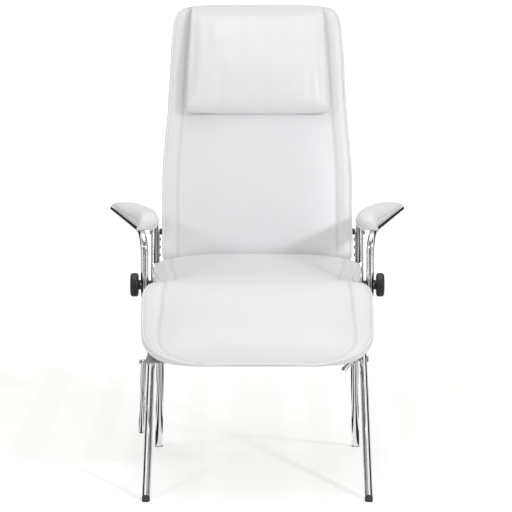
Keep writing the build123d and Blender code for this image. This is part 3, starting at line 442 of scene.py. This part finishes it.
def leatherette(cover):
    """Embossed white leatherette, rougher in its creases and greyed there by painted shade."""
    f = Finish("white_leatherette")
    pebbles = f.node("ShaderNodeTexVoronoi", {"feature": "SMOOTH_F1"},
                     {"Vector": f.place, "Scale": 1.0 / cover.grain, "Randomness": 0.9})
    pores = f.noise(2.6 / cover.grain, 3.0)
    cloud = f.noise(7.0, 3.0)
    handling = f.noise(26.0, 4.0)
    # Painted shade: a mask of how deep each point lies in a seam or fold, which also roughens it there
    crease = f.node("ShaderNodeAttribute", {"attribute_name": "crease"}, out="Fac")
    tone = f.mix(cloud, tint(cover.colour, 0.965), tint(cover.colour))
    # Painted shade: the colour greyed towards the crease shade colour in seams and folds
    tone = f.mix(crease * 0.6, tone, tint(cover.crease_shade_colour))
    pucker = f.noise(16.0, 2.0, (1.0, 1.0, 0.45))
    grain = pebbles * 0.8 + pores * 0.35 + pucker * 6.0
    return f.done({
        "Base Color": tone,
        "Roughness": handling * 0.16 + crease * 0.2 + (cover.roughness - 0.08),
        "Normal": f.bump(grain, 0.22, 0.25 * cover.grain),
        "Coat Weight": 0.08,
        "Coat Roughness": 0.3,
    })


def piping_cover(cover):
    """The same leatherette drawn tight over a cord, smoother and brighter."""
    f = Finish("white_piping")
    pebbles = f.noise(1.4 / cover.grain, 2.0)
    cloud = f.noise(40.0, 2.0)
    return f.done({
        "Base Color": f.mix(cloud, tint(cover.colour, 0.97), tint(cover.colour, 1.02)),
        "Roughness": cloud * 0.1 + (cover.roughness - 0.1),
        "Normal": f.bump(pebbles, 0.15, 0.2 * cover.grain),
        "Coat Weight": 0.15,
    })


def chrome(metal):
    """Polished chrome with faint wipe marks and a little haze."""
    f = Finish("chrome_tube")
    wipe = f.noise(35.0, 4.0, (1.0, 1.0, 0.35))
    specks = f.noise(420.0, 2.0)
    haze = f.noise(9.0, 2.0)
    return f.done({
        "Base Color": f.mix(haze, tint(metal.chrome, 0.95), tint(metal.chrome)),
        "Metallic": 1.0,
        "Roughness": wipe ** 3.0 * 0.22 + metal.chrome_roughness,
        "Normal": f.bump(specks, 0.004, 0.0002),
    })


def zinc(metal):
    """Dull zinc-plated steel with a fine brushed grain."""
    f = Finish("zinc_steel")
    brushed = f.noise(220.0, 3.0, (0.12, 1.0, 1.0))
    patches = f.noise(60.0, 4.0)
    return f.done({
        "Base Color": f.mix(patches, tint(metal.zinc, 0.8), tint(metal.zinc)),
        "Metallic": 1.0,
        "Roughness": brushed * 0.2 + patches * 0.15 + 0.2,
        "Normal": f.bump(brushed, 0.08, 0.0003),
    })


def moulded(name, colour, roughness, grain):
    """Moulded plastic or rubber with a fine spark-eroded texture and rubbed patches."""
    f = Finish(name)
    texture = f.noise(grain, 2.0)
    rubbed = f.noise(70.0, 3.0)
    lighter = tuple(channel * 1.5 + 0.004 for channel in colour)
    return f.done({
        "Base Color": f.mix(rubbed ** 2.0, tint(colour), tint(lighter)),
        "Roughness": rubbed * 0.18 + (roughness - 0.09),
        "Normal": f.bump(texture, 0.25, 0.0003),
        "Specular IOR Level": 0.16,
    })


def plywood(trim):
    """Pale birch plywood: long grain, fine pores, a few darker streaks."""
    f = Finish("birch_plywood")
    rings = f.noise(9.0, 5.0, (0.12, 1.0, 1.0))
    pores = f.noise(150.0, 3.0, (0.06, 1.0, 1.0))
    streak = f.node("ShaderNodeTexWave", {"bands_direction": "Y"},
                    {"Vector": f.place, "Scale": 16.0, "Distortion": 7.0, "Detail": 3.0})
    tone = f.mix(rings, tint(trim.board, 0.72), tint(trim.board))
    tone = f.mix(streak * 0.28, tone, tint(trim.board, 0.5))
    return f.done({
        "Base Color": tone,
        "Roughness": pores * 0.2 + 0.5,
        "Normal": f.bump(pores, 0.2, 0.0005),
    })


def material(name, build, *settings):
    """The named material, built on first use."""
    return bpy.data.materials.get(name) or build(*settings)


def pchip(known, values, wanted):
    """Smooth curve through stations that never overshoots them."""
    step = np.diff(known)[:, None]
    slope = np.diff(values, axis=0) / step
    tangent = np.zeros_like(values)
    tangent[0], tangent[-1] = slope[0], slope[-1]
    same = slope[:-1] * slope[1:] > 0
    total = np.where(same, slope[:-1] + slope[1:], 1.0)
    tangent[1:-1] = np.where(same, 2 * slope[:-1] * slope[1:] / total, 0.0)
    at = np.clip(np.searchsorted(known, wanted) - 1, 0, len(known) - 2)
    t = ((wanted - known[at]) / step[at, 0])[:, None]
    width = step[at]
    return ((1 + 2 * t) * (1 - t) ** 2 * values[at] + t * (1 - t) ** 2 * width * tangent[at]
            + t * t * (3 - 2 * t) * values[at + 1] + t * t * (t - 1) * width * tangent[at + 1])


def smooth_rows(rows, step):
    """Stations at about the given spacing, on smooth curves through the given ones."""
    table = np.array(rows, float)
    along = table[:, 0]
    pieces = [
        np.linspace(start, stop, max(2, round((stop - start) / step)), endpoint=False)
        for start, stop in zip(along[:-1], along[1:])
    ]
    wanted = np.append(np.concatenate(pieces), along[-1])
    return np.column_stack([wanted, pchip(along, table[:, 1:], wanted)])


def to_chair(points, place):
    """Points of a part's own frame, in millimetres, as points of the chair's frame."""
    origin, across, along, out = place
    axes = np.array([across, along, out])
    return points * MM @ axes + np.array(origin)


class Skin:
    """Closed soft form between an outer and an inner grid that share their first and last columns."""

    def __init__(self, outer, inner, marks, place):
        self.rows, self.columns = outer.shape[:2]
        self.marks = marks
        count = self.rows * self.columns
        self.outer = np.arange(count).reshape(self.rows, self.columns)
        self.inner = self.outer.copy()
        self.inner[:, 1:-1] = count + np.arange(self.rows * (self.columns - 2)).reshape(self.rows, -1)
        self.points = to_chair(np.concatenate([outer.reshape(-1, 3), inner[:, 1:-1].reshape(-1, 3)]), place)

    def faces(self):
        """Quads of both grids and of the two ends."""
        found = []
        for grid in (self.outer, self.inner):
            for row in range(self.rows - 1):
                for column in range(self.columns - 1):
                    found.append((grid[row, column], grid[row, column + 1],
                                  grid[row + 1, column + 1], grid[row + 1, column]))
        for row in (0, self.rows - 1):
            for column in range(self.columns - 1):
                ring = (self.outer[row, column], self.outer[row, column + 1],
                        self.inner[row, column + 1], self.inner[row, column])
                found.append(tuple(dict.fromkeys(ring)))
        return [tuple(int(index) for index in face) for face in found]

    def build(self, name):
        """Mesh object of the form, smooth shaded, facing outwards."""
        mesh = bpy.data.meshes.new(name)
        mesh.from_pydata(self.points.tolist(), [], self.faces())
        shell = bmesh.new()
        shell.from_mesh(mesh)
        bmesh.ops.recalc_face_normals(shell, faces=shell.faces)
        shell.to_mesh(mesh)
        shell.free()
        mesh.shade_smooth()
        obj = bpy.data.objects.new(name, mesh)
        bpy.context.scene.collection.objects.link(obj)
        # Painted shade: a mask, full on the seam and rim columns and faint beside them, by which the leatherette
        # is darkened where shade falls
        crease = mesh.attributes.new("crease", "FLOAT", "POINT")
        depth = np.zeros(len(self.points))
        for column in self.marks:
            for offset, share in ((-1, 0.2), (1, 0.2), (0, 1.0)):
                near = min(max(column + offset, 0), self.columns - 1)
                depth[self.outer[:, near]] = np.maximum(depth[self.outer[:, near]], share)
        crease.data.foreach_set("value", depth)
        return obj

    def held(self):
        """Vertices that the stuffing doesn't move: the inner face, seams, edges and ends."""
        fixed = set(self.inner.ravel()) | set(self.outer[[0, -1]].ravel())
        for column in self.marks:
            fixed |= set(self.outer[:, column])
        return sorted(int(index) for index in fixed)


def panel_skin(rows, base, place, step=11.0, lip=3.0, tuck=5.0, rise=3.5, flat=4.0, neck=None, keel=None,
               warp=None):
    """Upholstered panel: drawn-in sides, piped rims, two borders and a crowned centre between seams.

    A neck narrows its foot, a keel lifts its underside towards the first row, a warp bends the whole form.
    """
    table = smooth_rows(rows, step)
    along, half, seam, edge, valley, crown = (table[:, index:index + 1] for index in range(6))
    rim = half - lip
    foot = half - tuck
    necked = along > neck[0] if neck else np.full_like(along, False, bool)
    if neck:
        foot = np.where(necked, np.minimum(foot, neck[1]), foot)
    middle, strip, side = CENTRE_SHARES, BORDER_SHARES, SIDE_SHARES
    lift = np.zeros_like(along)
    if keel:
        lift = keel[1] * np.clip((along - keel[0]) / (along[0] - keel[0]), 0, 1) ** 2
    dome = np.clip(1 - middle ** flat, 0, 1) ** CROWN_FULLNESS
    across = np.hstack([
        seam * middle,
        seam + (rim - seam) * strip,
        np.where(necked, rim + (foot - rim) * (1 - (1 - side) ** 3),
                 rim + (foot - rim) * side + tuck * np.sin(np.pi * side)),
    ])
    height = np.hstack([
        valley + (crown - valley) * dome,
        valley + (edge - valley) * strip + rise * np.sin(np.pi * strip) * (edge / edge.max()),
        edge - (edge - lift) * side,
    ])
    across = np.hstack([-across[:, :0:-1], across])
    height = np.hstack([height[:, :0:-1], height]) + base
    columns = across.shape[1]
    deep = along + 0 * across
    outer = np.stack([across, deep, height], axis=2)
    under = foot * np.linspace(-1, 1, columns)[None, :]
    inner = np.stack([under, deep, base + lift + 0 * under], axis=2)
    centre = columns // 2
    to_seam = middle.size - 1
    to_rim = to_seam + strip.size
    marks = (centre - to_rim, centre - to_seam, centre + to_seam, centre + to_rim)
    if warp:
        outer, inner = warp(outer, half), warp(inner, half)
    return Skin(outer, inner, marks, place)


def swell_out(obj, skin, limit):
    """Push the free skin out with air pressure in a cloth simulation, capped, and keep the result."""
    group = obj.vertex_groups.new(name="held")
    group.add(skin.held(), 1.0, "REPLACE")
    cloth = obj.modifiers.new("stuffing", "CLOTH")
    settings = cloth.settings
    settings.quality = 4
    settings.mass = 0.3
    settings.tension_stiffness = 25.0
    settings.compression_stiffness = 25.0
    settings.shear_stiffness = 12.0
    settings.bending_stiffness = 3.0
    settings.use_pressure = True
    settings.uniform_pressure_force = STUFFING_PRESSURE
    settings.vertex_group_mass = group.name
    settings.effector_weights.gravity = 0.0
    cloth.collision_settings.use_collision = False
    cloth.point_cache.frame_start = 1
    cloth.point_cache.frame_end = STUFFING_FRAMES
    scene = bpy.context.scene
    for number in range(1, STUFFING_FRAMES + 1):
        scene.frame_set(number)
    puffed = obj.evaluated_get(bpy.context.evaluated_depsgraph_get())
    moved = np.empty(len(obj.data.vertices) * 3)
    puffed.data.vertices.foreach_get("co", moved)
    delta = moved.reshape(-1, 3) - skin.points
    reach = np.linalg.norm(delta, axis=1)[:, None]
    safe = np.maximum(reach, 1e-9)
    skin.points = skin.points + delta / safe * limit * np.tanh(reach / limit)
    obj.modifiers.remove(cloth)
    obj.vertex_groups.remove(group)
    scene.frame_set(1)


def rumple(skin, depth, width, seed, held):
    """Slight unevenness of hand-made upholstery: low waves in all but the held vertices."""
    noise.seed_set(NOISE_SEED)
    free = np.ones(len(skin.points))
    free[held] = 0.0
    offset = Vector((seed, 2.3 * seed, -1.7 * seed))
    for index in np.flatnonzero(free):
        point = Vector(skin.points[index]) / width + offset
        skin.points[index] += np.array(noise.noise_vector(point)) * depth


def stuffed(name, skin, cover, limit, body, node, depth=0.0009, width=0.05, seed=1.0):
    """One stuffed piece in place of a plain padded node: built, inflated, rumpled, covered and mounted."""
    obj = skin.build(name)
    swell_out(obj, skin, limit)
    rumple(skin, depth, width, seed, skin.held())
    obj.data.vertices.foreach_set("co", skin.points.ravel())
    obj.data.update()
    soften = obj.modifiers.new("soften", "SUBSURF")
    soften.levels = 1
    soften.render_levels = 1
    obj.data.materials.append(material("white_leatherette", leatherette, cover))
    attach(obj, body)
    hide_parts(node)
    return obj


def tube(lines, radius, sides=8):
    """Vertices and faces of round cords along lines of (points, closed, flat axis)."""
    points, faces = [], []
    turn = np.linspace(0, 2 * np.pi, sides, endpoint=False)
    for line, closed, flat in lines:
        line = np.asarray(line)
        count = len(line)
        if closed:
            run = np.roll(line, -1, axis=0) - np.roll(line, 1, axis=0)
        else:
            run = np.gradient(line, axis=0)
        run /= np.linalg.norm(run, axis=1)[:, None]
        side = np.cross(run, flat)
        side /= np.linalg.norm(side, axis=1)[:, None]
        rise = np.cross(side, run)
        start = len(points)
        for index in range(count):
            points += [tuple(line[index] + radius * (np.cos(a) * side[index] + np.sin(a) * rise[index]))
                       for a in turn]
        last = count if closed else count - 1
        for index in range(last):
            here = start + index * sides
            there = start + (index + 1) % count * sides
            for k in range(sides):
                faces.append((here + k, here + (k + 1) % sides, there + (k + 1) % sides, there + k))
        if not closed:
            faces.append(tuple(range(start, start + sides))[::-1])
            faces.append(tuple(range(start + (count - 1) * sides, start + count * sides)))
    return points, faces


def cords(name, lines, radius, cover, body):
    """Piping or seam cord as one smooth piece that rides with its panel."""
    points, faces = tube(lines, radius)
    mesh = bpy.data.meshes.new(name)
    mesh.from_pydata(points, [], faces)
    mesh.shade_smooth()
    obj = bpy.data.objects.new(name, mesh)
    bpy.context.scene.collection.objects.link(obj)
    mesh.materials.append(material("white_piping", piping_cover, cover))
    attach(obj, body)
    return obj


def trim_panel(name, skin, cover, body, out):
    """Piping round a panel's rim and a thin cord in each of its two seams."""
    left, left_seam, right_seam, right = skin.marks
    grid = skin.points[skin.outer]
    rim = np.concatenate([
        grid[:, left],
        grid[-1, left + 1:right],
        grid[::-1, right],
        grid[0, right - 1:left:-1],
    ])
    flat = np.array(out)
    cords(f"{name}_piping", [(rim, True, flat)], cover.piping, cover, body)
    seams = [(grid[1:-1, column] - flat * 0.4 * cover.seam, False, flat)
             for column in (left_seam, right_seam)]
    cords(f"{name}_seams", seams, cover.seam, cover, body)


def dress(nodes, name, build, *settings):
    """Give CAD nodes a material."""
    finish = material(name, build, *settings)
    for node in nodes:
        mesh = frame["nodes"][node].data
        mesh.materials.clear()
        mesh.materials.append(finish)


def nodes_of(slot):
    """CAD nodes of a material slot."""
    return [node for node, own in SLOT_OF.items() if own == slot]


class LOUNGE_OT_seat(bpy.types.Operator):
    """Stuffed seat cushion with borders, seams and piping."""

    bl_idname = "lounge.seat"
    bl_label = "Seat cushion"

    def execute(self, context):
        cover = context.scene.lounge_cover
        skin = panel_skin(SEAT_ROWS, SEAT_BASE, SEAT_PLACE)
        stuffed("seat_pad", skin, cover, cover.swell, "seat", "seat_cushion", seed=1.0)
        trim_panel("seat", skin, cover, "seat", SEAT_PLACE[3])
        return {"FINISHED"}


class LOUNGE_OT_back(bpy.types.Operator):
    """Stuffed back cushion with borders, seams and piping, and the padded cover behind it."""

    bl_idname = "lounge.back"
    bl_label = "Back cushion and rear cover"

    def execute(self, context):
        cover = context.scene.lounge_cover
        skin = panel_skin(BACK_ROWS, BACK_BASE, BACK_PLACE, step=13.0)
        stuffed("back_pad", skin, cover, cover.swell, "back", "back_cushion", seed=2.0)
        trim_panel("back", skin, cover, "back", BACK_PLACE[3])
        rear = panel_skin(REAR_ROWS, REAR_BASE, REAR_PLACE, step=14.0, rise=1.0, tuck=2.0)
        stuffed("rear_cover", rear, cover, 0.3 * cover.swell, "back", "back_rear_pad", seed=3.0)
        trim_panel("rear_cover", rear, cover, "back", REAR_PLACE[3])
        return {"FINISHED"}


class LOUNGE_OT_leg_rest(bpy.types.Operator):
    """Stuffed leg rest that rolls over its hinge, with borders, seams and piping."""

    bl_idname = "lounge.leg_rest"
    bl_label = "Leg rest cushion"

    def execute(self, context):
        cover = context.scene.lounge_cover
        skin = panel_skin(LEG_ROWS, LEG_BASE, LEG_PLACE, step=8.0, neck=LEG_NECK, keel=LEG_KEEL)
        stuffed("leg_rest_pad", skin, cover, 0.6 * cover.swell, "leg_rest", "leg_rest_cushion", seed=4.0)
        trim_panel("leg_rest", skin, cover, "leg_rest", LEG_PLACE[3])
        return {"FINISHED"}


class LOUNGE_OT_arm_pads(bpy.types.Operator):
    """Two rounded arm pads, mirrored."""

    bl_idname = "lounge.arm_pads"
    bl_label = "Arm pads"

    def execute(self, context):
        cover = context.scene.lounge_cover
        for side, sign in (("right", 1.0), ("left", -1.0)):
            rows = [(along, half, 0.72 * half, 0.46 * thick, 0.84 * thick, thick)
                    for along, half, thick in ARM_STATIONS]
            skin = panel_skin(rows, ARM_BASE, ARM_PLACE, step=8.0, lip=0.5, tuck=3.0, rise=2.5, flat=2.0,
                              warp=self.follow)
            self.sink_board(skin)
            skin.points[:, 0] *= sign
            skin.marks = skin.marks[:1] + skin.marks[3:]
            stuffed(f"{side}_arm_cushion", skin, cover, 0.3 * cover.swell, "frame", f"{side}_arm_pad",
                    depth=0.0006, width=0.03, seed=5.0 + sign)
        return {"FINISHED"}

    def follow(self, grid, half):
        """Set a pad's sections off towards the sitter, and turn the front ones down with the tube."""
        across, along, height = grid[..., 0], grid[..., 1], grid[..., 2]
        turn = np.maximum(ARM_BEND_START - along, 0) / ARM_RADIUS
        reach = ARM_RADIUS + height
        return np.stack([
            across + half - ARM_PAD_OUT,
            np.maximum(along, ARM_BEND_START) - reach * np.sin(turn),
            reach * np.cos(turn) - ARM_RADIUS,
        ], axis=2)

    def sink_board(self, skin):
        """Raise the underside over the wooden board that carries the pad."""
        origin, across, along, out = ARM_PLACE
        under = skin.inner[:, 1:-1].ravel()
        local = (skin.points[under] - np.array(origin)) / MM
        on_board = np.full(len(under), True)
        for axis, span in ((across, ARM_BOARD_ACROSS), (along, ARM_BOARD_SPAN)):
            on_board &= np.abs(local @ np.array(axis) - np.mean(span)) < 0.5 * np.ptp(span)
        skin.points[under[on_board]] += np.array(out) * ARM_BOARD_DEPTH * MM


class LOUNGE_OT_head_pillow(bpy.types.Operator):
    """Soft head pillow hung over the top of the back, with hanging folds."""

    bl_idname = "lounge.head_pillow"
    bl_label = "Head pillow"

    def execute(self, context):
        cover = context.scene.lounge_cover
        outer_rows, inner_rows = [], []
        for share in np.sin(np.linspace(-0.5, 0.5, PILLOW_STATIONS) * np.pi):
            puff = PILLOW_EDGE_PUFF + (1 - PILLOW_EDGE_PUFF) * (1 - abs(share) ** 5) ** 0.6
            outer_rows.append(self.profile(share, puff))
            inner_rows.append(self.lining(share, puff))
        skin = Skin(np.array(outer_rows), np.array(inner_rows), (0, PILLOW_AROUND - 1), BACK_PLACE)
        stuffed("hung_head_pillow", skin, cover, 0.5 * cover.swell, "head_pillow", "head_pillow",
                depth=0.0016, width=0.035, seed=7.0)
        return {"FINISHED"}

    def profile(self, share, puff):
        """Outer line at a place across: up the front, over the top, down the rear flap."""
        thick = PILLOW_THICK * puff
        low = PILLOW_LOW + (1 - puff) * PILLOW_CORNER
        # Place on the line, along the back, out of the back
        keys = np.array([
            (0, low, PILLOW_FRONT),
            (1, low - 0.2 * thick, PILLOW_FRONT + 0.42 * thick),
            (2, low + 0.35 * thick, PILLOW_FRONT + 0.88 * thick),
            (4, low + 80, PILLOW_FRONT + thick),
            (6, PILLOW_TOP - 80, PILLOW_FRONT + 0.66 * thick),
            (7.5, PILLOW_TOP - 26, PILLOW_FRONT + 0.33 * thick),
            (8.5, PILLOW_TOP + 4 * puff, PILLOW_FRONT - 18),
            (9.3, PILLOW_TOP + 9 * puff, 18),
            (10.2, PILLOW_TOP + 2 * puff, PILLOW_REAR - 4 * puff),
            (11, PILLOW_TOP - 26, PILLOW_REAR - 11.5 * puff),
            (13, PILLOW_FLAP_LOW + 8, PILLOW_REAR - 11.5 * puff),
            (14, PILLOW_FLAP_LOW, PILLOW_REAR),
        ])
        line = pchip(keys[:, 0], keys[:, 1:], np.linspace(0, keys[-1, 0], PILLOW_AROUND))
        hang, x = self.spread(share, line)
        front = np.clip((line[:, 1] - PILLOW_FRONT) / PILLOW_FOLD_FADE, 0, 1)
        for centre, drift, width, depth, place, reach in PILLOW_FOLDS:
            across = (x - centre - drift * (hang - 0.5)) / width
            line[:, 1] -= depth * np.exp(-across ** 2 - ((hang - place) / reach) ** 2) * front
        return np.column_stack([x, line])

    def lining(self, share, puff):
        """Inner line, along the front of the back, over its top and down its rear cover."""
        low = PILLOW_LOW + (1 - puff) * PILLOW_CORNER
        # The same places on the line as in the profile
        keys = np.array([
            (0, low, PILLOW_FRONT),
            (7, PILLOW_TOP - 26, PILLOW_FRONT),
            (8.5, PILLOW_TOP, PILLOW_FRONT - 14),
            (10.2, PILLOW_TOP, PILLOW_REAR),
            (14, PILLOW_FLAP_LOW, PILLOW_REAR),
        ])
        wanted = np.linspace(0, keys[-1, 0], PILLOW_AROUND)
        line = np.column_stack([np.interp(wanted, keys[:, 0], keys[:, index]) for index in (1, 2)])
        return np.column_stack([self.spread(share, line)[1], line])

    def spread(self, share, line):
        """How far down the back each point of a line hangs, as a share, and its place across."""
        hang = np.clip((PILLOW_TOP - line[:, 0]) / (PILLOW_TOP - PILLOW_LOW), 0, 1)
        return hang, share * (PILLOW_TOP_HALF + (PILLOW_HALF - PILLOW_TOP_HALF) * hang)


class LOUNGE_OT_metal(bpy.types.Operator):
    """Chrome on the tubes, zinc on plates, pins and screws."""

    bl_idname = "lounge.metal"
    bl_label = "Tube frame and fittings"

    def execute(self, context):
        metal = context.scene.lounge_metal
        dress(nodes_of("chrome"), "chrome_tube", chrome, metal)
        dress(nodes_of("steel"), "zinc_steel", zinc, metal)
        return {"FINISHED"}


class LOUNGE_OT_trim(bpy.types.Operator):
    """Plastic on knobs, bushes and caps, rubber on the tips, plywood or leatherette on the boards."""

    bl_idname = "lounge.trim"
    bl_label = "Knobs, tips and boards"

    def execute(self, context):
        trim = context.scene.lounge_trim
        dress(nodes_of("black_plastic"), "black_plastic", moulded, "black_plastic", trim.plastic, 0.4, 900.0)
        dress(nodes_of("tip_rubber"), "tip_rubber", moulded, "tip_rubber", trim.rubber, 0.7, 600.0)
        dress(nodes_of("plywood"), "birch_plywood", plywood, trim)
        covered = ["back_board", "leg_rest_board", "left_arm_board", "right_arm_board"]
        dress(covered, "white_leatherette", leatherette, context.scene.lounge_cover)
        return {"FINISHED"}


def lamp(name, place, target, size, power):
    """Soft lamp of a width and height, aimed at a point."""
    data = bpy.data.lights.new(name, "AREA")
    data.shape = "RECTANGLE"
    data.size, data.size_y = size
    data.energy = power
    data.color = LAMP_TINT
    obj = bpy.data.objects.new(name, data)
    obj.location = place
    obj.rotation_euler = (Vector(target) - Vector(place)).to_track_quat("-Z", "Y").to_euler()
    obj.visible_camera = False
    bpy.context.scene.collection.objects.link(obj)


def stage_piece(name, points, faces, finish):
    """Piece of the studio."""
    mesh = bpy.data.meshes.new(name)
    mesh.from_pydata(points, [], faces)
    mesh.materials.append(finish)
    obj = bpy.data.objects.new(name, mesh)
    bpy.context.scene.collection.objects.link(obj)
    return obj


class LOUNGE_OT_stage(bpy.types.Operator):
    """Pale floor, dark screens for the chrome to mirror, soft lamps, white room and camera."""

    bl_idname = "lounge.stage"
    bl_label = "Studio"

    def execute(self, context):
        stage = context.scene.lounge_stage
        self.floor(stage)
        self.screens()
        for name, (place, target, size, power) in LAMPS.items():
            lamp(name, place, target, size, getattr(stage, power))
        world = bpy.data.worlds.new("white_room")
        world.use_nodes = True
        room = Shading(world.node_tree)
        seen = room.backdrop()
        room.put(room.tree.nodes["Background"], {
            "Color": room.mix(seen, ROOM_TINT, WHITE),
            "Strength": seen * (1.0 - stage.sky) + stage.sky,
        })
        context.scene.world = world
        self.camera(context, stage)
        context.scene.view_settings.view_transform = "Standard"
        return {"FINISHED"}

    def floor(self, stage):
        """Wide pale floor that keeps the chair's shadow."""
        f = Finish("studio_floor")
        away = f.node("ShaderNodeVectorMath", {"operation": "LENGTH"}, {0: f.place}, out="Value")
        near, distant = FLOOR_FADE
        far = f.node("ShaderNodeMapRange", values={"Value": away, "From Min": near, "From Max": distant})
        f.done({
            "Base Color": f.mix(f.noise(3.0), tint(stage.floor, 0.99), tint(stage.floor)),
            "Roughness": 0.9,
            "Emission Color": f.mix(f.backdrop(), BLACK, f.mix(far, FLOOR_NEAR, WHITE)),
            "Emission Strength": stage.glow,
        })
        stage_piece("studio_floor", FLOOR_CORNERS, [(0, 1, 2, 3)], f.material)

    def screens(self):
        """Tall dark screens round the chair, that only mirrored rays meet."""
        dark = Finish("dark_screen")
        dark.done({"Base Color": dark.mix(dark.noise(2.0), (0.01, 0.01, 0.01, 1), (0.03, 0.03, 0.03, 1)),
                   "Roughness": 0.9})
        points, faces = [], []
        for sign in (-1, 1):
            for start, stop in SCREEN_ARCS:
                for angle in np.radians(np.linspace(start, stop, SCREEN_STEPS)):
                    points += [(sign * reach * math.sin(angle), -reach * math.cos(angle), height)
                               for reach, height in SCREEN_LINE]
                first = len(points) - SCREEN_STEPS * len(SCREEN_LINE)
                for step in range(SCREEN_STEPS - 1):
                    for k in range(len(SCREEN_LINE) - 1):
                        here = first + step * len(SCREEN_LINE) + k
                        there = here + len(SCREEN_LINE)
                        faces.append((here, here + 1, there + 1, there))
        front, rear = FLOOR_STRIP_REACH
        for low, high in FLOOR_STRIPS:
            faces.append(tuple(range(len(points), len(points) + 4)))
            points += [(x, y, FLOOR_STRIP_HEIGHT)
                       for x, y in ((low, front), (high, front), (high, rear), (low, rear))]
        obj = stage_piece("dark_screens", points, faces, dark.material)
        obj.visible_camera = obj.visible_diffuse = obj.visible_shadow = obj.visible_transmission = False

    def camera(self, context, stage):
        """Camera at the photograph's viewing angle."""
        data = bpy.data.cameras.new("photo_camera")
        data.lens = stage.lens
        data.sensor_width = 36.0
        data.clip_end = 200.0
        camera = bpy.data.objects.new("photo_camera", data)
        camera.location = (CAMERA_X, -stage.distance, stage.height)
        camera.rotation_euler = (CAMERA_TURN, 0.0, 0.0)
        context.scene.collection.objects.link(camera)
        context.scene.camera = camera


class LOUNGE_PT_panel(bpy.types.Panel):
    """Sidebar with the settings and one button per group of pieces."""

    bl_idname = "LOUNGE_PT_panel"
    bl_label = "Lounge armchair"
    bl_space_type = "VIEW_3D"
    bl_region_type = "UI"
    bl_category = "Armchair"

    def draw(self, context):
        for name in SETTINGS:
            group = getattr(context.scene, name)
            box = self.layout.box()
            for key in group.__annotations__:
                box.prop(group, key)
        for operator in OPERATORS:
            self.layout.operator(operator.bl_idname)


SETTINGS = {
    "lounge_cover": LoungeCover,
    "lounge_metal": LoungeMetal,
    "lounge_trim": LoungeTrim,
    "lounge_stage": LoungeStage,
}
OPERATORS = (
    LOUNGE_OT_metal,
    LOUNGE_OT_trim,
    LOUNGE_OT_seat,
    LOUNGE_OT_back,
    LOUNGE_OT_leg_rest,
    LOUNGE_OT_arm_pads,
    LOUNGE_OT_head_pillow,
    LOUNGE_OT_stage,
)


def register():
    for cls in (*SETTINGS.values(), *OPERATORS, LOUNGE_PT_panel):
        bpy.utils.register_class(cls)
    for name, cls in SETTINGS.items():
        setattr(bpy.types.Scene, name, PointerProperty(type=cls))


def unregister():
    for name in SETTINGS:
        delattr(bpy.types.Scene, name)
    for cls in (LOUNGE_PT_panel, *reversed(OPERATORS), *reversed(SETTINGS.values())):
        bpy.utils.unregister_class(cls)


def main():
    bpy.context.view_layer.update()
    register()
    bpy.ops.lounge.metal()
    bpy.ops.lounge.trim()
    bpy.ops.lounge.seat()
    bpy.ops.lounge.back()
    bpy.ops.lounge.leg_rest()
    bpy.ops.lounge.arm_pads()
    bpy.ops.lounge.head_pillow()
    bpy.ops.lounge.stage()


if __name__ == "__main__":
    main()
